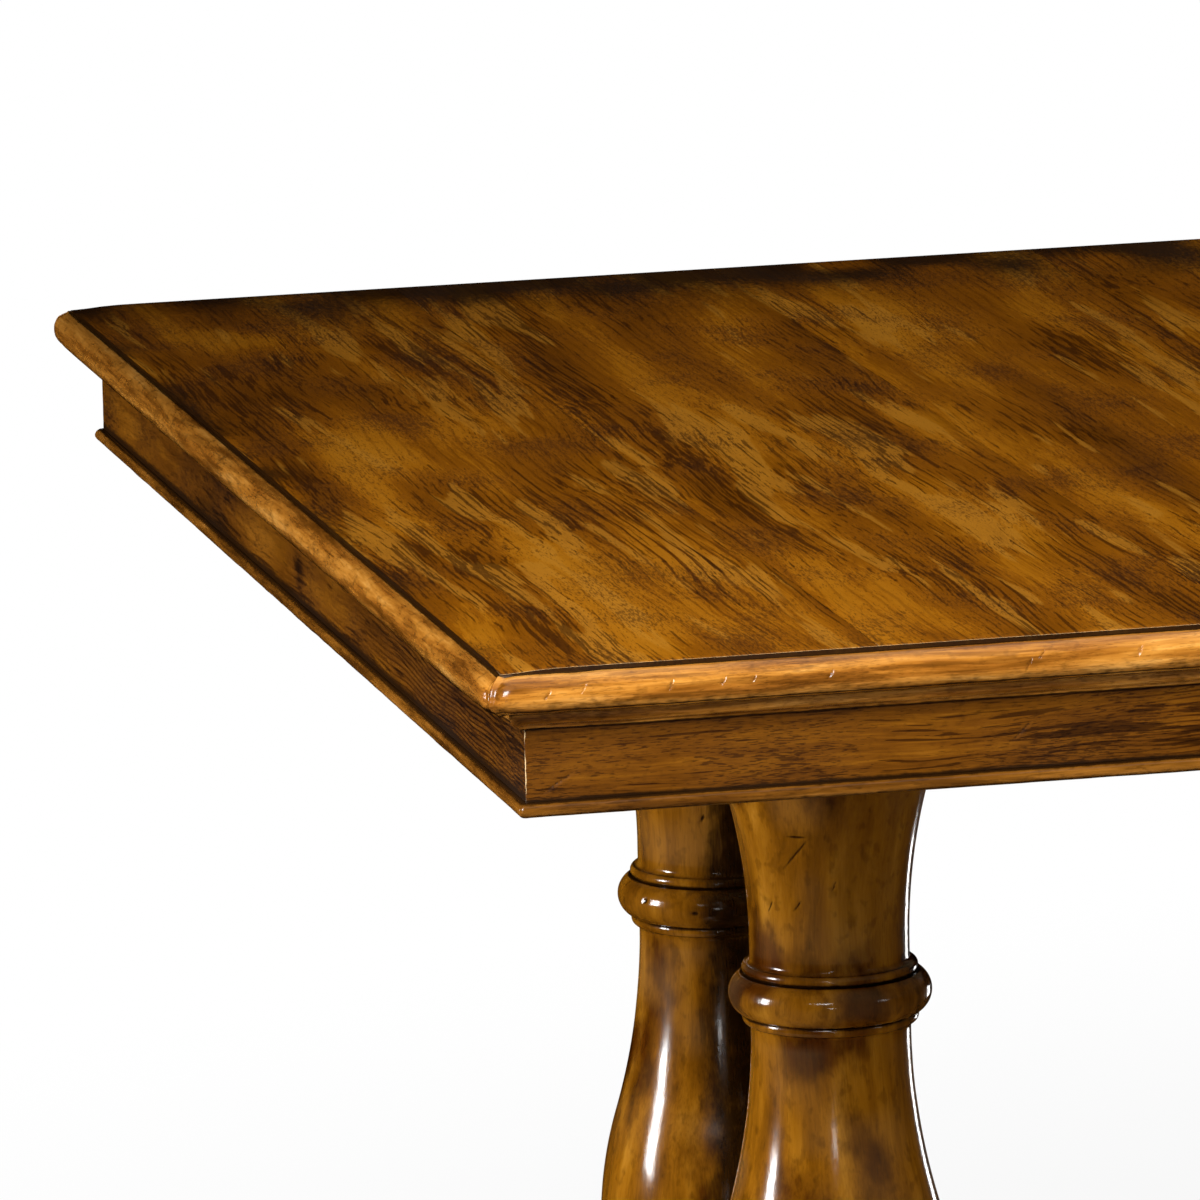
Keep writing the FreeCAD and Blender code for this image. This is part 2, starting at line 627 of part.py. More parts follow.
def tie_rod_set(x, y):
    """One tie rod with its two washers and two nuts."""
    low_washer = LOWER_NUT_SEAT - WASHER_THICKNESS
    low_nut = low_washer - NUT_HEIGHT
    high_washer = UPPER_NUT_SEAT + WASHER_THICKNESS
    high_nut = high_washer + NUT_HEIGHT
    rod = disc(ROD_RADIUS, low_nut - ROD_END, high_nut + ROD_END, x, y)
    washer_hole = disc(ROD_RADIUS + BOLT_GAP, low_nut, high_nut, x, y)
    nut_hole = disc(ROD_RADIUS + THREAD_GAP, low_nut, high_nut, x, y)
    washers = [
        disc(WASHER_RADIUS, low_washer, LOWER_NUT_SEAT, x, y).cut(washer_hole),
        disc(WASHER_RADIUS, UPPER_NUT_SEAT, high_washer, x, y).cut(washer_hole),
    ]
    nuts = [
        hexagon(NUT_WIDTH, low_nut, low_washer, x, y).cut(nut_hole),
        hexagon(NUT_WIDTH, high_washer, high_nut, x, y).cut(nut_hole),
    ]
    return rod, washers, nuts


def bun_foot():
    """A turned bun foot on the Z axis, bored for its insert and the glide's stem."""
    flange_top = GLIDE_THICKNESS + INSERT_FLANGE_THICKNESS
    barrel_top = GLIDE_THICKNESS + INSERT_LENGTH
    pocket_top = GLIDE_THICKNESS + GLIDE_STEM_LENGTH + GLIDE_STEM_POCKET
    tools = [
        disc(INSERT_FLANGE_RADIUS + GLUE_GAP, GLIDE_THICKNESS, flange_top),
        disc(INSERT_RADIUS + GLUE_GAP, GLIDE_THICKNESS, barrel_top),
        disc(GLIDE_STEM_RADIUS + ROD_GAP, GLIDE_THICKNESS, pocket_top),
    ]
    return turned(foot_section()).cut(tools)


def glide_insert():
    """A threaded insert on the Z axis, with its flange flush in the foot."""
    barrel = disc(INSERT_RADIUS, GLIDE_THICKNESS, GLIDE_THICKNESS + INSERT_LENGTH)
    flange = disc(INSERT_FLANGE_RADIUS, GLIDE_THICKNESS, GLIDE_THICKNESS + INSERT_FLANGE_THICKNESS)
    hole = disc(GLIDE_STEM_RADIUS + THREAD_GAP, GLIDE_THICKNESS, GLIDE_THICKNESS + INSERT_LENGTH)
    return barrel.fuse(flange).cut(hole)


def glide():
    """A levelling glide on the Z axis: a round pad on a stem, screwed fully in."""
    edge = GLIDE_EDGE_RADIUS
    slant = edge * math.sqrt(0.5)
    outline = Outline(0.0, 0.0)
    outline.line(GLIDE_RADIUS - edge, 0.0)
    outline.arc(Vector(GLIDE_RADIUS - edge + slant, 0, edge - slant), GLIDE_RADIUS, edge)
    outline.line(GLIDE_RADIUS, GLIDE_THICKNESS)
    outline.line(GLIDE_STEM_RADIUS, GLIDE_THICKNESS)
    outline.line(GLIDE_STEM_RADIUS, GLIDE_THICKNESS + GLIDE_STEM_LENGTH)
    outline.line(0.0, GLIDE_THICKNESS + GLIDE_STEM_LENGTH)
    return turned(outline.face())


def cap_rail_bolt(x, y):
    """A hexagon bolt up through the cap rail into a runner."""
    head = hexagon(BOLT_HEAD_WIDTH, BOLT_SEAT - BOLT_HEAD_HEIGHT, BOLT_SEAT, x, y)
    shank = disc(BOLT_RADIUS, BOLT_SEAT, RUNNER_BOTTOM + BOLT_BITE, x, y)
    return head.fuse(shank)


def build_pedestals():
    """Both pedestals, with the steel that draws them together and the feet under them."""
    nodes = {}
    column = turned(column_section())
    rods = []
    washers = []
    nuts = []
    for name, (x, y) in column_places().items():
        nodes[f"column_{name}"] = moved(column, x, y)
        rod, pair_of_washers, pair_of_nuts = tie_rod_set(x, y)
        rods.append(rod)
        washers += pair_of_washers
        nuts += pair_of_nuts
    nodes["tie_rods"] = Part.makeCompound(rods)
    nodes["tie_rod_washers"] = Part.makeCompound(washers)
    nodes["tie_rod_nuts"] = Part.makeCompound(nuts)

    foot = bun_foot()
    insert = glide_insert()
    pad = glide()
    moulding = mitred_frame(platform_moulding_section(), PLATFORM_HALF_X, PLATFORM_HALF_Y)
    bolts = []
    inserts = []
    for end, x in PEDESTALS.items():
        places = foot_places(x)
        nodes[f"cap_rail_{end}"] = cap_rail(x)
        nodes[f"platform_{end}"] = platform(x)
        strips = [moved(strip, x, 0.0) for strip in moulding.values()]
        nodes[f"platform_mouldings_{end}"] = Part.makeCompound(strips)
        nodes[f"bun_feet_{end}"] = Part.makeCompound([moved(foot, *place) for place in places.values()])
        bolts += [cap_rail_bolt(*place) for place in bolt_places(x)]
        inserts += [moved(insert, *place) for place in places.values()]
        for corner, place in places.items():
            nodes[f"glide_{end}_{corner}"] = moved(pad, *place)
    nodes["cap_rail_bolts"] = Part.makeCompound(bolts)
    nodes["glide_inserts"] = Part.makeCompound(inserts)
    return nodes


def main():
    """Builds every piece and writes one file per node."""
    nodes = {**build_top(), **build_bearers(), **build_pedestals()}
    os.makedirs("parts", exist_ok=True)
    for name, shape in nodes.items():
        if not shape.isValid():
            raise ValueError(f"{name} is not a valid solid")
        shape.exportStep(os.path.join("parts", f"{name}.step"))
    print(f"{len(nodes)} nodes written")


main()
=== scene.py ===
"""Dresses the twin-pedestal dining table: figured walnut planks, worn mouldings and turned columns."""

import json
import logging
import math
import random
from dataclasses import dataclass, field, replace
from enum import Enum
from itertools import product
from typing import Any

import bpy
import numpy as np
from mathutils import Matrix, Vector


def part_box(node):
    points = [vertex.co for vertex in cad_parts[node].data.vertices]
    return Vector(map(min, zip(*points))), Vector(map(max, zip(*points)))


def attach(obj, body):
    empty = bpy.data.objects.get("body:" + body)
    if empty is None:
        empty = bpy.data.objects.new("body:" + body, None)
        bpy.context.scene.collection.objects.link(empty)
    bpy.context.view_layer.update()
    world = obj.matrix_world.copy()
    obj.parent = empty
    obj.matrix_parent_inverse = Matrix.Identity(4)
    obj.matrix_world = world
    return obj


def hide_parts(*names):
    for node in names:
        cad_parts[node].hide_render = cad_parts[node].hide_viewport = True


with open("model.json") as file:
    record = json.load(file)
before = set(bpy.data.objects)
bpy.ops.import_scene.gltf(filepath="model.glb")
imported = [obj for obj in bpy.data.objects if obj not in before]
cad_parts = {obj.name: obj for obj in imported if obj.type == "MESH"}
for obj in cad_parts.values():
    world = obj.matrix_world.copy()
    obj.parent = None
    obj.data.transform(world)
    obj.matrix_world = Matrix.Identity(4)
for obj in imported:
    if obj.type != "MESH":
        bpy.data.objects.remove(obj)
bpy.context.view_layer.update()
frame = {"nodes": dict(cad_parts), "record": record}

LOG = logging.getLogger("dining_table")
MM = 0.001
SEED = 41
# Heights at the corners of the noise field
LATTICE = np.random.default_rng(SEED).uniform(-1.0, 1.0, (48, 48, 48))
# What a finish reads at each point besides the grain: dark glaze with painted shade, rubbed finish with
# painted highlights, lightness of the figure and strength of the growth lines
SHARES = ("glaze", "wear", "lightness", "rings")
# Faces that meet at more than this keep a sharp edge
SHARP_ANGLE = math.radians(38)
# Directions, counted from the normal, in which a point of a section looks for walls
LOOKS = np.radians(np.linspace(-75, 75, 15))
# Node types and settings that the shaders use most
MATH = "ShaderNodeMath"
VECTOR = "ShaderNodeVectorMath"
RANGE = "ShaderNodeMapRange"
MIX = "ShaderNodeMix"
PRINCIPLED = "ShaderNodeBsdfPrincipled"
OUTPUT = "ShaderNodeOutputMaterial"
EASED = {"interpolation_type": "SMOOTHSTEP"}
COLOURS = {"out": 2, "data_type": "RGBA"}
WHITE = (1.0, 1.0, 1.0, 1.0)

Pair = tuple[float, float]
Triple = tuple[float, float, float]
Materials = dict[str, bpy.types.Material]
Socket = bpy.types.NodeSocket
Tree = bpy.types.NodeTree


def linear(colour: str) -> tuple[float, float, float, float]:
    """Turns a colour as the eye sees it into the light values that a shader works in.

    Args:
        colour: sRGB hex, such as "#7a470c".

    Returns:
        Linear red, green, blue and an alpha of 1.
    """
    channels = [int(colour[i:i + 2], 16) / 255 for i in (1, 3, 5)]
    light = [c / 12.92 if c <= 0.04045 else ((c + 0.055) / 1.055) ** 2.4 for c in channels]
    return (light[0], light[1], light[2], 1.0)


def add(
    tree: Tree, kind: str, links: dict[int | str, Any] | None = None, out: int | str = 0, **settings: Any
) -> Socket | None:
    """Adds one shader node, sets it up and joins it to what feeds it.

    Args:
        tree: Node tree that the node goes into.
        kind: Blender's name for the node type.
        links: Input socket to the value that it holds or the socket that feeds it.
        out: Output socket to give back.
        settings: Properties of the node.

    Returns:
        The output socket, or None on a node that has none.
    """
    node = tree.nodes.new(kind)
    for name, value in settings.items():
        setattr(node, name, value)
    for name, value in (links or {}).items():
        if isinstance(value, Socket):
            tree.links.new(value, node.inputs[name])
        else:
            node.inputs[name].default_value = value
    return node.outputs[out] if len(node.outputs) else None


def new_material(name: str) -> tuple[bpy.types.Material, Tree]:
    """Makes a material with an empty node tree.

    Args:
        name: The real material and how its surface was made.

    Returns:
        The material and its tree.
    """
    material = bpy.data.materials.new(name)
    material.use_nodes = True
    material.node_tree.nodes.clear()
    return material, material.node_tree


def noise(tree: Tree, place: Socket, sizes: Triple, detail: float, out: int | str = 0) -> Socket:
    """Adds a noise field whose hills have a given size along each axis.

    Args:
        tree: Node tree that takes it.
        place: Place in metres.
        sizes: Size of a hill along each axis, in millimetres.
        detail: Number of finer layers on top.
        out: Output to give back.

    Returns:
        The field's socket.
    """
    scale = tuple(1 / (size * MM) for size in sizes)
    place = add(tree, VECTOR, {0: place, 1: scale}, operation="MULTIPLY")
    return add(tree, "ShaderNodeTexNoise", {"Vector": place, "Scale": 1.0, "Detail": detail}, out=out)


def nudge(tree: Tree, base: Socket, pushes: tuple[tuple[Socket, float], ...]) -> Socket:
    """Shifts a value by shares of how far noise fields lie from their middle.

    Args:
        tree: Node tree that takes the sums.
        base: Value to shift.
        pushes: Each field with its share.

    Returns:
        The shifted value.
    """
    for source, share in pushes:
        swing = add(tree, MATH, {0: source, 1: 0.5}, operation="SUBTRACT")
        base = add(tree, MATH, {0: swing, 1: share, 2: base}, operation="MULTIPLY_ADD")
    return base


def smoothstep(low: float, high: float, value: np.ndarray) -> np.ndarray:
    """Gives 0 below low, 1 above high and an eased ramp between them."""
    share = np.clip((value - low) / (high - low), 0.0, 1.0)
    return share * share * (3.0 - 2.0 * share)


def hills(points: np.ndarray, size: float, seed: float) -> np.ndarray:
    """Samples a smooth seeded noise field.

    Args:
        points: Array of places in millimetres, with the three coordinates last.
        size: Width of one hill in millimetres.
        seed: Shift that makes this field differ from the next one.

    Returns:
        Heights from -1 to 1, one for each place.
    """
    place = points / size + seed
    cell = np.floor(place).astype(int)
    share = place - cell
    share = share * share * (3.0 - 2.0 * share)
    side = len(LATTICE)
    heights = np.zeros(place.shape[:-1])
    for corner in product((0, 1), repeat=3):
        weight = np.prod(np.where(corner, share, 1.0 - share), axis=-1)
        i, j, k = ((cell[..., axis] + corner[axis]) % side for axis in range(3))
        heights += weight * LATTICE[i, j, k]
    return heights


def hollows(points: np.ndarray, size: float, seed: float) -> np.ndarray:
    """Gives the same field from 0 on top of the hills to 1 between them."""
    return 0.5 - 0.5 * hills(points, size, seed)


def log_place(rng: random.Random, across: float = 900.0) -> np.ndarray:
    """Picks a board's place in the log, up to so many millimetres across, so that no two share a figure."""
    return np.array([rng.uniform(0, 9000), rng.uniform(0, across), rng.uniform(0, 900)])


def turn_from(angle: np.ndarray, degrees: float) -> np.ndarray:
    """Gives angles counted from a direction in degrees, from minus half a turn to half a turn."""
    return (angle - math.radians(degrees) + math.pi) % math.tau - math.pi


def middle(node: str) -> Pair:
    """Gives the middle of a CAD node's box in plan, in millimetres."""
    low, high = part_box(node)
    return ((low[0] + high[0]) / 2 / MM, (low[1] + high[1]) / 2 / MM)


class Outline:
    """A section made of lines and arcs, kept as close points (out, up) in millimetres."""

    def __init__(self, out: float, up: float, step: float = 0.8) -> None:
        """Starts the outline at a point, with the usual distance between its points."""
        self.points: list[Pair] = [(out, up)]
        self.step = step

    def line(self, out: float, up: float, step: float | None = None) -> None:
        """Draws a straight run to a point.

        Args:
            out: Distance outwards of the end.
            up: Level of the end.
            step: Distance between points, where it isn't the outline's own.
        """
        start = np.array(self.points[-1])
        end = np.array((out, up))
        count = max(1, round(float(np.linalg.norm(end - start)) / (step or self.step)))
        self.points += [tuple(start + (end - start) * i / count) for i in range(1, count + 1)]

    def lines(self, *stops: tuple[float, ...]) -> None:
        """Draws straight runs through stops, each with what line() takes."""
        for stop in stops:
            self.line(*stop)

    def arc(self, middle: Pair, end: Pair) -> None:
        """Draws the arc through a middle point to an end point.

        Args:
            middle: Any point that the arc passes.
            end: Point where it ends.
        """
        (ax, ay), (bx, by), (cx, cy) = self.points[-1], middle, end
        twice = 2 * (ax * (by - cy) + bx * (cy - ay) + cx * (ay - by))
        a, b, c = ax * ax + ay * ay, bx * bx + by * by, cx * cx + cy * cy
        ox = (a * (by - cy) + b * (cy - ay) + c * (ay - by)) / twice
        oy = (a * (cx - bx) + b * (ax - cx) + c * (bx - ax)) / twice
        radius = math.hypot(ax - ox, ay - oy)
        first = math.atan2(ay - oy, ax - ox)
        turn_middle = (math.atan2(by - oy, bx - ox) - first) % math.tau
        turn = (math.atan2(cy - oy, cx - ox) - first) % math.tau
        if turn_middle > turn:
            turn -= math.tau
        count = max(4, round(abs(turn) * radius / self.step))
        for i in range(1, count + 1):
            angle = first + turn * i / count
            self.points.append((ox + radius * math.cos(angle), oy + radius * math.sin(angle)))

    def bulge(self, up: float, height: float) -> None:
        """Draws a round that swells outwards from here to a level straight above or below."""
        out, start = self.points[-1]
        self.arc((out + height, (start + up) / 2), (out, up))

    def sweep(self, out: float, up: float, upright_first: bool) -> None:
        """Draws an arc that is upright at one of its ends.

        Args:
            out: Distance outwards of the end.
            up: Level of the end.
            upright_first: True where it sets off upright, False where it arrives so.
        """
        here, there = self.points[-1], (out, up)
        (sx, sz), (tx, tz) = (here, there) if upright_first else (there, here)
        radius = ((tx - sx) ** 2 + (tz - sz) ** 2) / (2 * abs(tx - sx))
        half = math.asin(min(1.0, abs(tz - sz) / radius)) / 2
        middle_out = sx + math.copysign(radius * (1 - math.cos(half)), tx - sx)
        middle_up = sz + math.copysign(radius * math.sin(half), tz - sz)
        self.arc((middle_out, middle_up), there)

    def closed(self) -> np.ndarray:
        """Gives the points as an array, without an end that repeats the start."""
        points = np.array(self.points)
        return points[:-1] if np.linalg.norm(points[0] - points[-1]) < 1e-6 else points


def outward(points: np.ndarray) -> np.ndarray:
    """Gives the unit normals that point out of a closed outline.

    Args:
        points: Outline points (out, up), in order.

    Returns:
        One normal for each point.
    """
    after = np.roll(points, -1, axis=0)
    along = after - np.roll(points, 1, axis=0)
    normals = np.stack([along[:, 1], -along[:, 0]], axis=1)
    normals /= np.maximum(np.linalg.norm(normals, axis=1, keepdims=True), 1e-9)
    area = np.sum(points[:, 0] * after[:, 1] - after[:, 0] * points[:, 1])
    return normals if area > 0 else -normals


def openness(points: np.ndarray, walls: list[np.ndarray], reach: float, lift: float = 0.05) -> np.ndarray:
    """Measures how freely each point of an outline looks out, so that glaze can gather in the nooks.

    Args:
        points: Closed outline (out, up) in millimetres.
        walls: Closed outlines that shut off the view.
        reach: Distance in millimetres past which a wall no longer counts.
        lift: Distance in millimetres off the surface from which a point looks.

    Returns:
        A share from 0, shut in, to 1, open.
    """
    normals = outward(points)
    starts = np.concatenate(walls)
    runs = np.concatenate([np.roll(wall, -1, axis=0) for wall in walls]) - starts
    origins = points + normals * lift
    total, weights = np.zeros(len(points)), 0.0
    for angle in LOOKS:
        turn = np.array([[math.cos(angle), -math.sin(angle)], [math.sin(angle), math.cos(angle)]])
        rays = normals @ turn.T
        gap = starts[None] - origins[:, None]
        cross = rays[:, None, 0] * runs[None, :, 1] - rays[:, None, 1] * runs[None, :, 0]
        cross = np.where(np.abs(cross) < 1e-12, 1e-12, cross)
        far = (gap[..., 0] * runs[None, :, 1] - gap[..., 1] * runs[None, :, 0]) / cross
        share = (gap[..., 0] * rays[:, None, 1] - gap[..., 1] * rays[:, None, 0]) / cross
        hit = (far > 0) & (share >= 0) & (share <= 1)
        nearest = np.where(hit, far, reach).min(axis=1)
        total += np.minimum(nearest / reach, 1.0) * math.cos(angle)
        weights += math.cos(angle)
    return total / weights


def shelter(points: np.ndarray, soft: float = 4.0) -> np.ndarray:
    """Measures how far each point of an outline lies under what stands out above it.

    Args:
        points: Outline points (out, up) in millimetres.
        soft: Height in millimetres that keeps what is just above from counting too much.

    Returns:
        The steepest slope, outwards over upwards, to any point above.
    """
    above = points[None, :, 1] - points[:, None, 1]
    beyond = points[None, :, 0] - points[:, None, 0]
    return np.where(above > 0, beyond / (np.maximum(above, 0.0) + soft), 0.0).max(axis=1)


class Surface:
    """A mesh in the making: points in millimetres with the wood values that its finish reads."""

    def __init__(self) -> None:
        """Starts with nothing in it."""
        self.points: list[np.ndarray] = []
        self.values: dict[str, list[np.ndarray]] = {name: [] for name in ("grain",) + SHARES}
        self.corners: list[np.ndarray] = []
        self.sizes: list[np.ndarray] = []
        self.count = 0

    def take(
        self, points: np.ndarray, quads: np.ndarray, caps: list[np.ndarray], **values: np.ndarray
    ) -> None:
        """Adds one closed shell, turned right side out.

        Args:
            points: Places in millimetres, one row each.
            quads: Corner numbers of its four-sided faces.
            caps: Corner numbers of each face with more sides.
            values: Place in the board's grain and each of SHARES, one row for each point.
        """
        a, b, c, d = (points[quads[:, i]] for i in range(4))
        volume = np.sum(np.cross(b, c) * a) + np.sum(np.cross(c, d) * a)
        for cap in caps:
            fan = points[cap[1:]]
            volume += np.sum(np.cross(fan[:-1], fan[1:]) @ points[cap[0]])
        step = 1 if volume > 0 else -1
        self.corners += [quads[:, ::step].ravel() + self.count] + [cap[::step] + self.count for cap in caps]
        self.sizes += [np.full(len(quads), 4), np.array([len(cap) for cap in caps], int)]
        self.points.append(points)
        self.values["grain"].append(values["grain"].reshape(-1, 3))
        for label in SHARES:
            self.values[label].append(np.ravel(values.get(label, np.zeros(len(points)))))
        self.count += len(points)

    def piece(
        self, name: str, material: bpy.types.Material, body: str, node: str
    ) -> bpy.types.Object:
        """Makes the Blender object and sets it on the model.

        Args:
            name: Name of the piece.
            material: Its finish.
            body: Body that it moves with.
            node: CAD node that it stands for.

        Returns:
            The object, in metres.
        """
        mesh = bpy.data.meshes.new(name)
        sizes, corners = np.concatenate(self.sizes), np.concatenate(self.corners)
        mesh.vertices.add(self.count)
        mesh.vertices.foreach_set("co", np.concatenate(self.points).ravel() * MM)
        mesh.loops.add(len(corners))
        mesh.loops.foreach_set("vertex_index", corners)
        mesh.polygons.add(len(sizes))
        mesh.polygons.foreach_set("loop_start", np.concatenate([[0], np.cumsum(sizes)[:-1]]))
        mesh.update(calc_edges=True)
        for label in SHARES:
            values = np.concatenate(self.values[label]).astype(np.float32)
            mesh.attributes.new(label, "FLOAT", "POINT").data.foreach_set("value", values)
        places = (np.concatenate(self.values["grain"]) * MM).astype(np.float32).ravel()
        mesh.attributes.new("grain", "FLOAT_VECTOR", "POINT").data.foreach_set("vector", places)
        mesh.polygons.foreach_set("use_smooth", np.ones(len(sizes), bool))
        mesh.set_sharp_from_angle(angle=SHARP_ANGLE)
        mesh.materials.append(material)
        obj = bpy.data.objects.new(name, mesh)
        bpy.context.scene.collection.objects.link(obj)
        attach(obj, body)
        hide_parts(node)
        LOG.info("%s: %d points on %s for %s", name, self.count, body, node)
        return obj


def grid_faces(
    rows: int, columns: int, wrap_rows: bool = False, wrap_columns: bool = False
) -> np.ndarray:
    """Gives the four-sided faces of a grid of points.

    Args:
        rows: Number of rows.
        columns: Number of points in a row.
        wrap_rows: True where the last row joins the first.
        wrap_columns: True where a row's last point joins its first.

    Returns:
        Corner numbers of each face, one row each.
    """
    row = np.arange(rows if wrap_rows else rows - 1)
    column = np.arange(columns if wrap_columns else columns - 1)
    i, j = np.meshgrid(row, column, indexing="ij")
    k, m = (i + 1) % rows, (j + 1) % columns
    corners = np.stack([i * columns + j, k * columns + j, k * columns + m, i * columns + m], axis=-1)
    return corners.reshape(-1, 4)


@dataclass
class Knocks:
    """Dents that years of chairs and hands leave on a run of moulding, in millimetres."""

    count: int
    length: Pair = (2.5, 8.0)
    width: Pair = (0.7, 1.8)
    depth: Pair = (0.25, 0.8)
    swing: float = 0.5
    bend: float = 0.04
    edge: float = 1.3

    def press(self, along: np.ndarray, around: np.ndarray, rng: random.Random) -> np.ndarray:
        """Presses the dents into a grid.

        Args:
            along: Millimetres along the run at each row.
            around: Millimetres round the section at each column.
            rng: Seeded source of their places.

        Returns:
            Depth in millimetres at each grid point.
        """
        sunk = np.zeros((len(along), len(around)))
        for _ in range(self.count):
            place = rng.uniform(along[0], along[-1])
            ring = rng.uniform(around[0], around[-1])
            half_length = rng.uniform(*self.length) / 2
            half_width = rng.uniform(*self.width) / 2
            angle = rng.gauss(0.0, self.swing)
            depth = rng.uniform(*self.depth)
            near = np.flatnonzero(np.abs(along - place) < half_length * 1.2 + 1)
            if len(near) == 0:
                continue
            dx = (along[near] - place)[:, None]
            dy = (around - ring)[None] + self.bend * dx * dx / half_length
            u = (dx * math.cos(angle) + dy * math.sin(angle)) / half_length
            v = (dy * math.cos(angle) - dx * math.sin(angle)) / half_width
            dent = depth * np.clip(1 - u * u - v * v, 0, 1) ** self.edge
            sunk[near] = np.maximum(sunk[near], dent)
        return sunk


@dataclass
class Cut:
    """One listed knife-like scratch: millimetres, and its lean in degrees."""

    along: float
    level: float
    length: float
    lean: float
    width: float = 1.6
    depth: float = 0.7

    def depth_at(self, along: np.ndarray, level: np.ndarray) -> np.ndarray:
        """Gives the scratch's depth at places on a surface.

        Args:
            along: Millimetres along the surface.
            level: Millimetres up.

        Returns:
            Depth in millimetres.
        """
        c, s = math.cos(math.radians(self.lean)), math.sin(math.radians(self.lean))
        dx, dz = along - self.along, level - self.level
        u = (dx * c + dz * s) / (self.length / 2)
        v = (dz * c - dx * s) / (self.width / 2)
        return self.depth * np.clip(1 - u * u, 0, 1) * np.clip(1 - np.abs(v), 0, 1)


class Side(Enum):
    """The four sides that a mitred frame has, each with its turn from the right-hand side."""

    RIGHT = ("right", 0)
    BACK = ("back", 1)
    LEFT = ("left", 2)
    FRONT = ("front", 3)

    @property
    def label(self) -> str:
        """The side's name as the CAD nodes write it."""
        return self.value[0]

    def sizes(self, half_x: float, half_y: float) -> Pair:
        """Gives the side's half length and its distance from the middle, out of the frame's half sizes."""
        return (half_x, half_y) if self in (Side.FRONT, Side.BACK) else (half_y, half_x)

    def place(self, out: np.ndarray, along: np.ndarray, up: np.ndarray) -> np.ndarray:
        """Turns distances out, along and up into places in the table's frame."""
        c, s = ((1, 0), (0, 1), (-1, 0), (0, -1))[self.value[1]]
        return np.stack([out * c - along * s, out * s + along * c, up], axis=-1)


@dataclass
class GlazeAndShadeLine:
    """A dark line along a run, partly glaze that the rag left in a quirk and partly painted shade along a
    contour: its level and its reach to each side.
    """

    level: float
    reach: float
    strength: float = 1.0

    def at(self, up: np.ndarray) -> np.ndarray:
        """Gives the line's share of glaze and painted shade at levels on the surface."""
        return self.strength * np.exp(-(((up - self.level) / self.reach) ** 2))


@dataclass
class Blob:
    """A soft oval on a board's face, where the figure is lighter or darker or the growth lines show."""

    x: float
    y: float
    half_x: float
    half_y: float
    level: float

    def at(self, x: np.ndarray, y: np.ndarray) -> np.ndarray:
        """Gives the oval's level at places on the face."""
        return self.level * np.exp(-((x - self.x) / self.half_x) ** 2 - ((y - self.y) / self.half_y) ** 2)


Blobs = tuple[Blob, ...]


def summed(blobs: Blobs, x: np.ndarray, y: np.ndarray) -> np.ndarray:
    """Adds up ovals at places on a face."""
    return sum((blob.at(x, y) for blob in blobs), np.zeros_like(x))


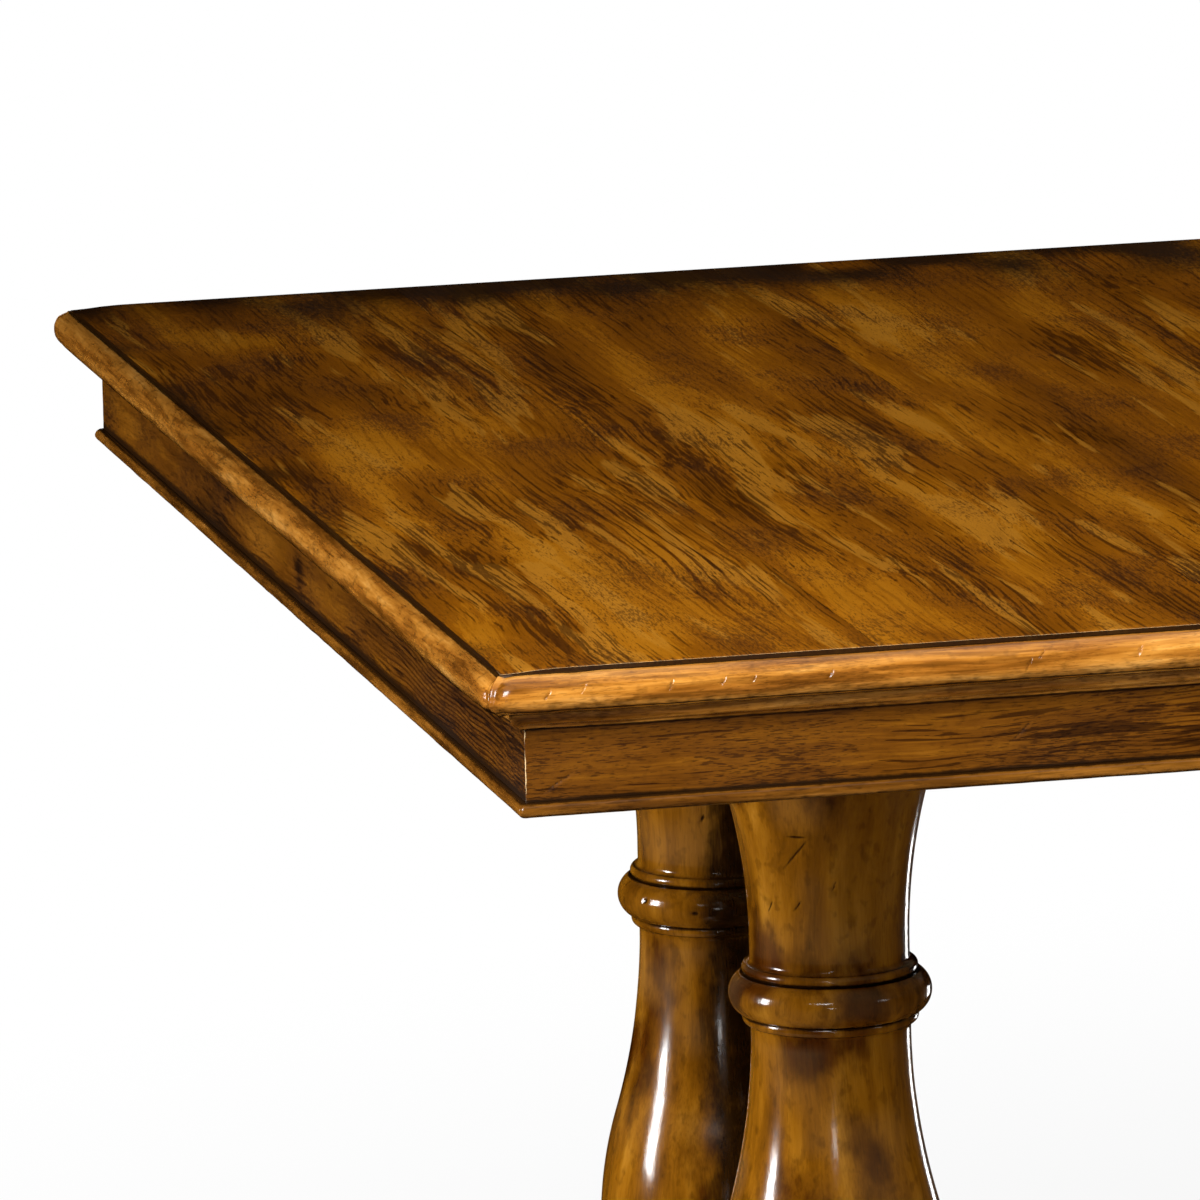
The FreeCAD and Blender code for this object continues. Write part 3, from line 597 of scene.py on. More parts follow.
@dataclass
class Run:
    """One straight length of moulding, mitred at both ends. Lengths are in millimetres."""

    half_length: float
    offset: float
    station: float = 3.0
    corner_round: float = 0.8
    corner_chips: float = 0.5
    lump: float = 0.0
    lump_size: float = 14.0
    corner_lumps: float = 0.0
    knocks: Knocks | None = None
    cuts: tuple[Cut, ...] = ()
    # Strengths of the painted shade under what stands out, of an even darker wash, of the painted shade on
    # undersides and of the glaze in dents, then the dark lines along the run
    shade: float = 0.2
    wash: float = 0.0
    underside_shade: float = 0.25
    dent_glaze: float = 0.6
    lines: tuple[GlazeAndShadeLine, ...] = ()
    round_from: Pair = (-3.0, -1.0)
    # Reach from the mitre of the painted highlight on the worn arris, then the strength, place and reach of
    # the growth lines
    rub_highlight: float = 0.0
    ribs: float = 0.0
    rib_place: float = 0.0
    rib_reach: float = 130.0
    flames: Blobs = ()
    first_step: float = 0.2
    growth: float = 1.22
    cut_pitch: float = 0.7
    # Reach of a wide and of a tight nook, then the shares of open air or slopes where each effect sets in
    wide_nook: float = 8.0
    tight_nook: float = 2.5
    glazed_open: Pair = (0.45, 0.80)
    covered_slope: Pair = (0.4, 1.2)
    worn_open: Pair = (0.5, 0.9)
    # Distances from the mitre over which handling and wiping change, and the depth of a dent full of glaze
    handled_span: float = 18.0
    calm_span: float = 4.0
    wash_span: float = 15.0
    full_dent: float = 0.5
    # Finer lumps on the lumps: their share of the height and how many fit one
    fine_share: float = 0.4
    fine_count: float = 3.0
    # Chips at the mitre: height of one, and a step that makes those of the two ends differ
    chip_height: float = 2.5
    chip_step: float = 40.0
    least_round: float = 0.2
    # Lean of the normal over which the painted underside shade sets in, and the chip levels that break the
    # painted highlight
    under_lean: Pair = (-0.05, -0.85)
    highlight_chip: Pair = (-0.15, 0.25)

    def stations(self) -> np.ndarray:
        """Places along the run, close together at the mitres where the corner is worn round.

        Returns:
            Sorted places in millimetres from the run's middle.
        """
        gaps, here, step = [], 0.0, self.first_step
        while here < self.half_length:
            gaps.append(here)
            here += step
            step = min(step * self.growth, self.station)
        right = self.half_length - np.array(gaps)
        places = [-right, right]
        for cut in self.cuts:
            places.append(np.arange(cut.along - cut.length, cut.along + cut.length, self.cut_pitch))
        inside = np.clip(np.concatenate(places), -self.half_length, self.half_length)
        return np.unique(np.round(inside, 3))

    def dents(
        self, along: np.ndarray, section: np.ndarray, around: np.ndarray, worn: np.ndarray,
        rng: random.Random,
    ) -> np.ndarray:
        """Presses knocks and cuts into the faces that hands reach.

        Args:
            along: Places along the run.
            section: Closed outline (out, up).
            around: Distance round the section at each of its points.
            worn: Share of wear at each of its points.
            rng: Seeded source of the knocks.

        Returns:
            Depth in millimetres, one row for each place along the run.
        """
        depth = np.zeros((len(along), len(section)))
        if self.knocks:
            exposed = np.flatnonzero(worn > 0.5)
            face = slice(exposed[0], exposed[-1] + 1)
            depth[:, face] = self.knocks.press(along, around[face], rng)
            depth *= worn
        for cut in self.cuts:
            depth = np.maximum(depth, cut.depth_at(along[:, None], section[None, :, 1]) * worn)
        return depth

    def build(
        self, surface: Surface, section: np.ndarray, walls: list[np.ndarray], side: Side, centre: Pair,
        rng: random.Random,
    ) -> None:
        """Sweeps the section along one side of the frame and wears it.

        Args:
            surface: Mesh that takes the run.
            section: Closed outline (out, up).
            walls: Outlines of everything on that side, for the glaze.
            side: Side of the frame.
            centre: Middle of the frame in plan.
            rng: Seeded source of the wear.
        """
        along = self.stations()
        normals = outward(section)
        worn = smoothstep(*self.worn_open, openness(section, walls, self.wide_nook))
        steps = np.linalg.norm(np.roll(section, -1, axis=0) - section, axis=1)
        around = np.concatenate([[0.0], np.cumsum(steps)[:-1]])
        seed = rng.uniform(0, 40)

        shape = (len(along), len(section))
        out = np.broadcast_to(section[:, 0], shape).copy()
        up = np.broadcast_to(section[:, 1], shape).copy()
        tau = np.broadcast_to(along[:, None], shape)
        from_mitre = self.half_length - np.abs(tau)
        spread = np.stack([tau, np.broadcast_to(around, shape), np.zeros(shape)], axis=-1)
        handled = 1 + self.corner_lumps * np.exp(-from_mitre / self.handled_span)
        sunk = self.lump * handled * hollows(spread, self.lump_size, seed) * worn
        fine = hollows(spread, self.lump_size / self.fine_count, seed + 9)
        sunk += self.fine_share * self.lump * fine * worn
        dents = self.dents(along, section, around, worn, rng)
        sunk = (sunk + dents) * smoothstep(0.0, self.calm_span, from_mitre)
        out -= normals[:, 0] * sunk
        up -= normals[:, 1] * sunk

        # Worn corner: the outer faces turn round the mitre on a small radius instead of meeting sharp
        end = np.sign(tau) * self.chip_step
        chips = np.stack([end, up / self.chip_height, np.zeros_like(up)], axis=-1)
        chipped = hills(chips, 1.0, seed + 3)
        radius = np.maximum(self.corner_round * (1 + self.corner_chips * chipped), self.least_round)
        inside = np.minimum(from_mitre, radius)
        pulled = radius - (inside + np.sqrt(np.maximum(2 * radius ** 2 - inside ** 2, 0.0))) / 2
        out -= pulled * smoothstep(*self.round_from, out)

        # Glaze lies in the tight nooks and in dents; painted shade darkens what lies under an overhang and
        # the undersides;
        # the listed lines are partly glaze and partly painted shade
        nook = 1 - smoothstep(*self.glazed_open, openness(section, walls, self.tight_nook))
        overhang_shade = smoothstep(*self.covered_slope, shelter(np.concatenate([section] + walls))[:len(section)])
        nook = np.maximum(nook, self.shade * overhang_shade)
        for wiped in self.lines:
            nook = np.maximum(nook, wiped.at(section[:, 1]))
        under = self.underside_shade * smoothstep(*self.under_lean, normals[:, 1])
        washed = self.wash * (1 - np.exp(-from_mitre / self.wash_span))
        glaze = np.maximum(np.maximum(nook, under)[None], washed)
        glaze = glaze + np.clip(dents / self.full_dent, 0, 1) * self.dent_glaze
        # A broken pale line on the worn arris near the mitre: a painted highlight
        rubbed_highlight = worn[None] * (from_mitre < self.rub_highlight) * smoothstep(*self.highlight_chip, chipped)

        sheared = tau * (1 + out / self.half_length)
        places = side.place(out + self.offset, sheared, up) + np.array((*centre, 0.0))
        rows, columns = shape
        caps = [np.arange(columns), np.arange(columns)[::-1] + (rows - 1) * columns]
        surface.take(
            places.reshape(-1, 3), grid_faces(rows, columns, wrap_columns=True), caps,
            grain=np.stack([sheared, out, up], axis=-1) + log_place(rng), glaze=np.clip(glaze, 0, 1),
            wear=np.clip(rubbed_highlight, 0, 1), lightness=summed(self.flames, tau, np.broadcast_to(up, shape)),
            rings=self.ribs * np.exp(-(((tau - self.rib_place) / self.rib_reach) ** 2)),
        )


@dataclass
class Slab:
    """A flat board of the top with eased edges, its grain along Y. Lengths are in millimetres."""

    low: Triple
    high: Triple
    ease: float = 0.2
    ease_bend: float = 0.3
    ease_glaze: float = 0.5
    # Share of the pale colour painted as a highlight along the front ease
    front_wear: float = 0.8
    pitch: float = 9.0
    corner_drop: float = 1.6
    corner_reach: float = 16.0
    # Painted shade darkens the top towards the rim, most along the back: strengths and reaches at the ends,
    # the front and the back
    end_shade: float = 0.6
    end_fade: float = 18.0
    front_shade: float = 0.3
    front_fade: float = 20.0
    back_shade: float = 0.8
    back_fade: float = 82.0
    back_span: Pair = (-200.0, 400.0)
    cloud_size: float = 45.0
    cloud_seed: float = 5.0

    def axis(self, a: int) -> tuple[np.ndarray, np.ndarray]:
        """Places the points along X or Y: flank and eased edge at both ends, even steps between them.

        Args:
            a: Number of the axis.

        Returns:
            The places, and how far each lies below the board's face.
        """
        low, high, bend = self.low[a], self.high[a], self.ease_bend * self.ease
        inner = high - low - 2 * self.ease
        count = max(2, round(inner / self.pitch))
        body = [low + self.ease + inner * i / count for i in range(count + 1)]
        places = np.array([low, low, low + bend] + body + [high - bend, high, high])
        drop = np.zeros(len(places))
        drop[[1, -2]] = self.ease
        drop[[2, -3]] = bend
        return places, drop

    def build(
        self, surface: Surface, rng: random.Random, rim: np.ndarray, flames: Blobs, rings: Blobs
    ) -> None:
        """Builds the board.

        Args:
            surface: Mesh that takes it.
            rng: Seeded source of its place in the log.
            rim: Half sizes of the whole top in plan.
            flames: Ovals where the figure is lighter or darker.
            rings: Ovals where the growth lines show.
        """
        (places_x, drop_x), (places_y, drop_y) = self.axis(0), self.axis(1)
        x, y = np.meshgrid(places_x, places_y, indexing="ij")
        drop = np.maximum(*np.meshgrid(drop_x, drop_y, indexing="ij"))
        rows, columns = x.shape
        border, flank = (
            np.pad(np.zeros((rows - 2 * deep, columns - 2 * deep), bool), deep, constant_values=True)
            for deep in (1, 2)
        )
        edge_x, edge_y = rim[0] - np.abs(x), rim[1] - np.abs(y)
        z = self.high[2] - drop
        z -= self.corner_drop * np.exp(-((np.hypot(edge_x, edge_y) / self.corner_reach) ** 2))
        z[border] = self.low[2]

        # The flanks are glazed near black and the eases half: dark joints between planks, and painted shade
        # on the quirk's step at the rim
        eased = (drop > 0) & ~flank
        glaze = flank * 1.0
        glaze[eased] = self.ease_glaze
        # Painted shade towards the rim, in clouds, deepest along the back
        flat = np.stack([x, y, np.zeros_like(x)], axis=-1)
        cloud = 0.7 + 0.6 * hills(flat, self.cloud_size, self.cloud_seed)
        back = smoothstep(*self.back_span, y)
        fade = np.exp(-np.maximum(edge_y, 0) / (self.front_fade + self.back_fade * back))
        ends = self.end_shade * np.exp(-np.maximum(edge_x, 0) / self.end_fade) * cloud
        sides = (self.front_shade + self.back_shade * back) * fade * cloud
        glaze = np.maximum(glaze, np.maximum(ends, sides))
        # The front ease is left unglazed and carries a painted highlight
        front = eased & (edge_y < 2 * self.ease)
        glaze[front] = 0.0

        points = np.stack([x, y, z], axis=-1).reshape(-1, 3)
        index = np.arange(rows * columns).reshape(rows, columns)
        loop = np.concatenate([index[:-1, 0], index[-1, :-1], index[:0:-1, -1], index[0, :0:-1]])
        surface.take(
            points, grid_faces(rows, columns), [loop[::-1]],
            grain=points[:, [1, 0, 2]] + log_place(rng, 4000.0), glaze=np.clip(glaze, 0, 1),
            wear=front * self.front_wear, lightness=summed(flames, x, y),
            rings=np.clip(summed(rings, x, y), 0, 1),
        )


@dataclass
class Turning:
    """A piece turned on the lathe, a little uneven as hand-sanded work is. Lengths are in millimetres."""

    section: np.ndarray
    segments: int = 320
    lump: float = 0.35
    lump_size: float = 34.0
    cuts: tuple[Cut, ...] = ()
    # Direction of the neighbouring column, whose shadow is painted on the side facing it
    twin: float | None = None
    # Radius past which the bore ends and the shown face begins
    face_from: Pair = (24.0, 30.0)
    # Reach of a quirk and of a wide hollow, then the shares of open air at which dark glaze gathers in the
    # quirk and painted shade darkens the hollow
    quirk_reach: float = 9.0
    hollow_reach: float = 40.0
    quirk_open: Pair = (0.4, 0.9)
    hollow_open: Pair = (0.56, 0.99)
    hollow_glaze: float = 0.95
    cut_glaze: float = 0.85
    full_cut: float = 0.5
    # Painted shadow of the neighbouring column: its spread in degrees, strength and frayed edge
    twin_span: Pair = (8.0, 32.0)
    twin_glaze: float = 0.8
    twin_fray: float = 6.0
    wear: float = 0.06
    crest_open: Pair = (0.97, 1.0)
    # Finer lumps on the lumps: their share of the height and how many fit one
    fine_share: float = 0.25
    fine_count: float = 4.0
    # Sizes of the clouds in the glaze and painted shade, of the frayed edge of the painted shadow between
    # the columns and of rubbed patches
    glaze_cloud: float = 16.0
    fray_cloud: float = 30.0
    wear_cloud: float = 25.0

    def build(self, surface: Surface, x: float, y: float, rng: random.Random) -> None:
        """Turns the section about an upright line.

        Args:
            surface: Mesh that takes it.
            x: Place of the axis.
            y: Place of the axis.
            rng: Seeded source of its unevenness.
        """
        tight = openness(self.section, [self.section], self.quirk_reach)
        wide = openness(self.section, [self.section], self.hollow_reach)
        seed = rng.uniform(0, 40)
        angle = np.arange(self.segments) * math.tau / self.segments
        out = np.broadcast_to(self.section[:, 0], (self.segments, len(self.section)))
        up = np.broadcast_to(self.section[:, 1], out.shape)
        turn = np.broadcast_to(angle[:, None], out.shape)
        places = np.stack([out * np.cos(turn), out * np.sin(turn), up], axis=-1)
        shown = smoothstep(*self.face_from, out)
        sunk = self.lump * hollows(places, self.lump_size, seed) * shown
        fine = hollows(places, self.lump_size / self.fine_count, seed + 7)
        sunk = sunk + self.fine_share * self.lump * fine * shown
        scratched = np.zeros(out.shape)
        for cut in self.cuts:
            round_way = turn_from(turn, cut.along) * out
            scratched = np.maximum(scratched, replace(cut, along=0.0).depth_at(round_way, up))
        radius = np.maximum(out - sunk - scratched * shown, 0.0)
        points = np.stack([radius * np.cos(turn) + x, radius * np.sin(turn) + y, up], axis=-1)
        grain = np.stack([up, places[..., 0], places[..., 1]], axis=-1) + log_place(rng)

        # Dark glaze in the quirks, painted shade in the wide hollows
        hollow = self.hollow_glaze * (1 - smoothstep(*self.hollow_open, wide))
        nook = np.maximum(1 - smoothstep(*self.quirk_open, tight), hollow)
        glaze = nook[None] * (0.9 + 0.4 * hills(places, self.glaze_cloud, seed + 2))
        glaze = glaze + np.clip(scratched / self.full_cut, 0, 1) * self.cut_glaze
        if self.twin is not None:
            # Painted shadow of the neighbouring column, on the side that faces it
            apart = np.degrees(np.abs(turn_from(turn, self.twin)))
            apart = apart + self.twin_fray * hills(places, self.fray_cloud, seed + 5)
            shadowed = 1 - smoothstep(*self.twin_span, apart)
            glaze = np.maximum(glaze, self.twin_glaze * shadowed * shown)
        patches = 0.2 + 0.8 * hills(places, self.wear_cloud, seed + 4)
        wear = smoothstep(*self.crest_open, tight)[None] * patches * self.wear
        surface.take(
            points.reshape(-1, 3), grid_faces(*out.shape, wrap_rows=True, wrap_columns=True), [],
            grain=grain, glaze=np.clip(glaze, 0, 1), wear=np.clip(wear, 0, 1),
        )


class GrainSource(Enum):
    """Where a finish finds the direction of the grain."""

    BOARD = "values that the piece carries"
    TABLE = "across the table"


@dataclass(frozen=True)
class WalnutFinish:
    """Stained walnut under a hand-wiped dark glaze and satin lacquer.

    The stain gives the eye warm brown to gold flames, the glaze gathers near black in quirks and dents,
    the same dark colour is painted as shade under overhangs, on undersides, towards the top's rim and
    between the columns, a pale rubbed colour is painted as a highlight on worn arrises, and the lacquer
    lays a soft sheen over all. Lengths are in millimetres, along the grain then across it.
    """

    name: str
    ramp: tuple[tuple[float, str], ...]
    # Dark glaze in quirks and dents, also painted as shade under overhangs, on undersides, at the rim and
    # between columns
    glaze: str = "#1a0c02"
    # Pale rubbed colour of worn crests, also painted as a highlight on worn arrises
    rubbed_highlight: str = "#d8bc8c"
    figure: Pair = (150.0, 30.0)
    contrast: float = 1.0
    reach: float = 38.0
    fine: float = 1.0
    sway: float = 18.0
    ripple: float = 2.5
    streak: float = 0.35
    fibre: float = 0.25
    feather: float = 0.0
    tongues: float = 0.0
    amber: str = "#ae7522"
    lines: float = 0.0
    line_pitch: float = 7.0
    line_wobble: float = 2.0
    line_edge: float = 0.62
    pore_size: Pair = (9.0, 0.9)
    pores: float = 0.5
    clouds: float = 0.25
    mottle_size: Pair = (4.5, 3.2)
    mottle: float = 0.0
    roughness: float = 0.36
    specular: float = 0.2
    relief: float = 0.15
    source: GrainSource = GrainSource.BOARD

    def fields(self, t: Tree) -> dict[str, Socket]:
        """Adds the noise fields that all layers share.

        Args:
            t: Node tree that takes them.

        Returns:
            Each field by name, with the bent grain that most of them lie in as "bent".
        """
        if self.source is GrainSource.BOARD:
            grain = add(t, "ShaderNodeAttribute", out="Vector", attribute_name="grain")
        else:
            grain = add(t, "ShaderNodeTexCoord", out="Object")
            quarter = (0.0, 0.0, math.pi / 2)
            grain = add(t, "ShaderNodeMapping", {"Vector": grain, "Rotation": quarter})

        # The grain wanders sideways in long bends, then in short ripples
        bent = grain
        for along, across, reach in ((320.0, 110.0, self.sway), (75.0, 30.0, self.ripple)):
            wave = noise(t, bent, (along, across, across), 1.0, "Color")
            wave = add(t, VECTOR, {0: wave, 1: (0.5, 0.5, 0.5)}, operation="SUBTRACT")
            shift = (0.0, 2 * reach * MM, 2 * reach * MM)
            bent = add(t, VECTOR, {0: wave, 1: shift, 2: bent}, operation="MULTIPLY_ADD")

        # Each field: its size along and across the grain, the grain that it lies in and its finer layers
        sizes = {
            "figure": (*self.figure, bent, 2.0),
            "streak": (self.reach, 3.2 * self.fine, bent, 2.0),
            "fibre": (0.4 * self.reach, 1.1 * self.fine, bent, 1.0),
            "feather": (1.3 * self.reach, 3.0 * self.fine, bent, 3.0),
            "tongue": (2.4 * self.reach, 25.0 * self.fine, bent, 1.5),
            "pore": (*self.pore_size, bent, 2.5),
            "zone": (260.0, 90.0, grain, 1.0),
            "cloud": (80.0, 50.0, grain, 5.0),
            "speck": (*self.mottle_size, grain, 2.0),
        }
        fields = {
            label: noise(t, source, (along, across, across), detail)
            for label, (along, across, source, detail) in sizes.items()
        }
        return fields | {"bent": bent}

    def growth_lines(self, t: Tree, fields: dict[str, Socket]) -> Socket:
        """Adds growth lines, which run in parallel where the board was cut through the heart.

        Args:
            t: Node tree that takes them.
            fields: Noise fields by name.

        Returns:
            A wave from -1 to 1 across the grain.
        """
        across = {0: fields["bent"], 1: (0.0, 1.0, 0.8)}
        phase = add(t, VECTOR, across, out="Value", operation="DOT_PRODUCT")
        phase = add(t, MATH, {0: phase, 1: math.tau / (self.line_pitch * MM)}, operation="MULTIPLY")
        for label, wobble in (("figure", 2.5), ("streak", self.line_wobble)):
            phase = add(t, MATH, {0: fields[label], 1: wobble, 2: phase}, operation="MULTIPLY_ADD")
        return add(t, MATH, {0: phase}, operation="SINE")

    def stain(self, t: Tree, fields: dict[str, Socket], shares: dict[str, Socket]) -> Socket:
        """Adds the stained wood under the glaze.

        Args:
            t: Node tree that takes it.
            fields: Noise fields by name.
            shares: The values that the mesh carries.

        Returns:
            The wood's colour.
        """
        # Flames with feathered ends: the figure's level is frayed by streaks and fibres
        body = nudge(t, shares["lightness"], ((fields["figure"], self.contrast),))
        body = add(t, MATH, {0: body, 1: 0.5}, operation="ADD")
        level = nudge(t, body, ((fields["streak"], self.streak), (fields["fibre"], self.fibre)))
        colour = add(t, "ShaderNodeValToRGB", {"Fac": level}, out="Color")
        stops = colour.node.color_ramp.elements
        while len(stops) < len(self.ramp):
            stops.new(0.5)
        for stop, (position, shade) in zip(stops, self.ramp):
            stop.position = position
            stop.color = linear(shade)

        # Light tongues with crisp edges lie where the fork of the tree was cut
        pushes = ((body, 0.3), (fields["streak"], 0.14), (fields["zone"], -0.5))
        tongue = nudge(t, fields["tongue"], pushes)
        span = {"Value": tongue, "From Min": 0.595, "From Max": 0.645, "To Max": self.tongues}
        tongue = add(t, RANGE, span, **EASED)
        colour = add(t, MIX, {0: tongue, 6: colour, 7: linear(self.amber)}, **COLOURS)

        # Growth lines show in zones, and dark feathers gather there and leave the light flames clean
        span = {"Value": fields["zone"], "From Min": 0.5, "From Max": 0.64, "To Max": self.lines}
        band = add(t, RANGE, span, **EASED)
        band = add(t, MATH, {0: band, 1: shares["rings"]}, operation="MAXIMUM")
        crowd = nudge(t, fields["feather"], ((body, -0.45), (fields["zone"], -0.45)))
        ticks = nudge(t, fields["pore"], ((fields["cloud"], 0.6),))

        # Each stain layer: the value that drives it, where it starts and is full, its strength and its tint
        layers = (
            (self.growth_lines(t, fields), self.line_edge, 0.97, band, "#6a4420"),
            (crowd, 0.580, 0.620, self.feather, "#66563a"),
            (ticks, 0.57, 0.64, self.pores, "#5a4829"),
            (fields["cloud"], 0.50, 0.66, self.clouds, "#86694a"),
            (fields["speck"], 0.54, 0.70, self.mottle, "#57361c"),
        )
        for driver, start, full, strength, tint in layers:
            span = {"Value": driver, "From Min": start, "From Max": full, "To Max": strength}
            mask = add(t, RANGE, span, **EASED)
            colour = add(t, MIX, {0: mask, 6: colour, 7: linear(tint)}, blend_type="MULTIPLY", **COLOURS)
        return colour

    def material(self) -> bpy.types.Material:
        """Builds the shader.

        Returns:
            A material whose pattern follows each board's own grain.
        """
        material, t = new_material(self.name)
        shares = {name: add(t, "ShaderNodeAttribute", out="Fac", attribute_name=name) for name in SHARES}
        fields = self.fields(t)
        colour = self.stain(t, fields, shares)
        # Pale rubbed colour: wear on crests, and a painted highlight on worn arrises
        rub_highlight = add(t, MATH, {0: shares["wear"], 1: 0.75}, operation="MULTIPLY")
        colour = add(t, MIX, {0: rub_highlight, 6: colour, 7: linear(self.rubbed_highlight)}, **COLOURS)

        # Glaze in the nooks breaks up where the rag reached, and the painted shade breaks up with it
        ragged = nudge(t, shares["glaze"], ((fields["speck"], 0.5), (fields["pore"], 0.35)))
        span = {"Value": ragged, "From Min": 0.12, "From Max": 0.85, "To Max": 0.95}
        ragged = add(t, RANGE, span, **EASED)
        colour = add(t, MIX, {0: ragged, 6: colour, 7: linear(self.glaze)}, **COLOURS)

        dull, bright = 1.22 * self.roughness, 0.82 * self.roughness
        span = {"Value": fields["cloud"], "From Min": 0.3, "From Max": 0.7}
        sheen = add(t, RANGE, span | {"To Min": bright, "To Max": dull})
        relief = fields["streak"]
        for label, share in (("fibre", 0.4), ("pore", -0.5)):
            relief = add(t, MATH, {0: fields[label], 1: share, 2: relief}, operation="MULTIPLY_ADD")
        bump = add(t, "ShaderNodeBump", {"Strength": 0.3, "Distance": self.relief * MM, "Height": relief})
        lacquer = {"Roughness": sheen, "IOR": 1.5, "Specular IOR Level": self.specular}
        shader = add(t, PRINCIPLED, lacquer | {"Base Color": colour, "Normal": bump})
        add(t, OUTPUT, {"Surface": shader})
        return material


# Figured crotch walnut sliced along the fork, stained and sanded flat: dark umber with gold flames
PLANK_WALNUT = WalnutFinish(
    name="walnut_planks_stained_and_lacquered",
    ramp=((0.28, "#5c3202"), (0.44, "#744103"), (0.55, "#834c05"), (0.585, "#965b09"), (0.75, "#a46811")),
    figure=(300.0, 46.0), contrast=0.85, reach=70.0, fine=0.55, sway=12.0, streak=0.22, fibre=0.22,
    feather=0.74, tongues=0.5, pore_size=(6.0, 0.8), pores=0.6, lines=0.3, clouds=0.15, specular=0.1,
)
# Long-grain walnut run through a moulding cutter, then rubbed by hand: lighter honey with dark dents
MOULDING_WALNUT = WalnutFinish(
    name="walnut_moulding_cut_and_hand_worn",
    ramp=((0.30, "#6c3f0e"), (0.42, "#865117"), (0.52, "#9b6320"), (0.62, "#ae742c"), (0.74, "#c28a40")),
    figure=(110.0, 8.0), sway=6.0, ripple=1.5, feather=0.3, pore_size=(4.5, 0.6), pores=0.32,
    mottle_size=(7.0, 4.5), mottle=0.22, roughness=0.19, specular=0.28,
)
# The same stock run as a thin bead: darker and smooth
BEAD_WALNUT = replace(
    MOULDING_WALNUT,
    name="walnut_bead_cut_and_glazed",
    ramp=((0.30, "#4a2a08"), (0.42, "#5c370c"), (0.52, "#6b4211"), (0.62, "#7a4d18"), (0.74, "#8d5e26")),
    pore_size=(8.0, 1.2), pores=0.3, mottle_size=(4.5, 3.2), mottle=0.15,
)
# Straight-grained walnut planed flat: long even streaks with short dark flecks
APRON_WALNUT = WalnutFinish(
    name="walnut_apron_planed_and_glazed",
    ramp=((0.30, "#3a1f03"), (0.42, "#4a2803"), (0.52, "#573105"), (0.62, "#643b06"), (0.74, "#75480d")),
    figure=(170.0, 14.0), contrast=0.55, fine=0.7, specular=0.12, sway=8.0, ripple=3.0, feather=0.72,
    clouds=0.15, line_pitch=2.0, line_wobble=0.6, line_edge=0.2, pore_size=(6.0, 0.6), pores=0.65,
    mottle=0.15,
)
# Walnut turned on the lathe and sanded while spinning: fine upright grain under a cloudy wiped glaze
TURNED_WALNUT = WalnutFinish(
    name="walnut_turned_and_glazed",
    ramp=((0.30, "#593404"), (0.42, "#673e06"), (0.52, "#744809"), (0.62, "#81530f"), (0.74, "#91621a")),
    figure=(160.0, 18.0), sway=10.0, ripple=3.0, streak=0.16, fibre=0.14, feather=0.15, pores=0.15,
    clouds=0.95, mottle_size=(9.0, 6.0), mottle=0.3, roughness=0.13, specular=0.3,
)
# Walnut board planed flat under the columns: broad grain, a little darker than the turnings
PLATFORM_WALNUT = WalnutFinish(
    name="walnut_platform_planed_and_glazed",
    ramp=TURNED_WALNUT.ramp,
    figure=(200.0, 24.0), feather=0.35, pores=0.4, clouds=0.4, source=GrainSource.TABLE,
)


@dataclass(frozen=True)
class PlainWoodFinish:
    """Planed secondary timber with no finish on it: pale, dry and straight in the grain."""

    name: str
    pale: str
    dark: str
    stretch: Triple
    roughness: float = 0.62

    def material(self) -> bpy.types.Material:
        """Builds the shader.

        Returns:
            A material with streaks of the stretch's size in millimetres.
        """
        material, t = new_material(self.name)
        streak = noise(t, add(t, "ShaderNodeTexCoord", out="Object"), self.stretch, 4.0)
        streak = add(t, RANGE, {"Value": streak, "From Min": 0.35, "From Max": 0.65})
        colour = add(t, MIX, {0: streak, 6: linear(self.pale), 7: linear(self.dark)}, **COLOURS)
        bump = add(t, "ShaderNodeBump", {"Strength": 0.3, "Distance": 0.1 * MM, "Height": streak})
        wood = {"Base Color": colour, "Roughness": self.roughness, "IOR": 1.5, "Specular IOR Level": 0.4}
        shader = add(t, PRINCIPLED, wood | {"Normal": bump})
        add(t, OUTPUT, {"Surface": shader})
        return material


@dataclass(frozen=True)
class MetalFinish:
    """Plated hardware: a tinted mirror, blurred by fine drawing marks."""

    name: str
    colour: str
    roughness: float

    def material(self) -> bpy.types.Material:
        """Builds the shader.

        Returns:
            A material with marks about 1 mm apart.
        """
        material, t = new_material(self.name)
        place = add(t, "ShaderNodeTexCoord", out="Object")
        marks = add(t, "ShaderNodeTexNoise", {"Vector": place, "Scale": 1 / MM, "Detail": 2.0})
        bright, dull = self.roughness - 0.06, self.roughness + 0.08
        span = {"Value": marks, "From Min": 0.3, "From Max": 0.7, "To Min": bright, "To Max": dull}
        metal = {"Base Color": linear(self.colour), "Metallic": 1.0, "Roughness": add(t, RANGE, span)}
        add(t, OUTPUT, {"Surface": add(t, PRINCIPLED, metal)})
        return material


# Poplar bearers, planed: greenish cream with soft brown streaks along the piece
BEARER_WOOD = PlainWoodFinish("poplar_planed_bare", "#b59a6c", "#94764a", (160.0, 5.0, 5.0))
CROSS_BEARER = PlainWoodFinish("poplar_planed_bare_crosswise", "#b59a6c", "#94764a", (5.0, 160.0, 5.0))
# Laminated core board, sanded: pale even chips
CORE_BOARD = PlainWoodFinish("core_board_sanded", "#bfa377", "#a5865a", (24.0, 9.0, 9.0))
# Zinc on steel: cool grey with a dull shine
ZINC_STEEL = MetalFinish("steel_zinc_plated", "#b9bab6", 0.36)
# Nickel on turned steel: slightly warm and brighter
GLIDE_STEEL = MetalFinish("steel_nickel_plated_turned", "#a8a49c", 0.28)
# Turned brass: yellow and bright
BRASS = MetalFinish("brass_turned", "#c9a04f", 0.3)

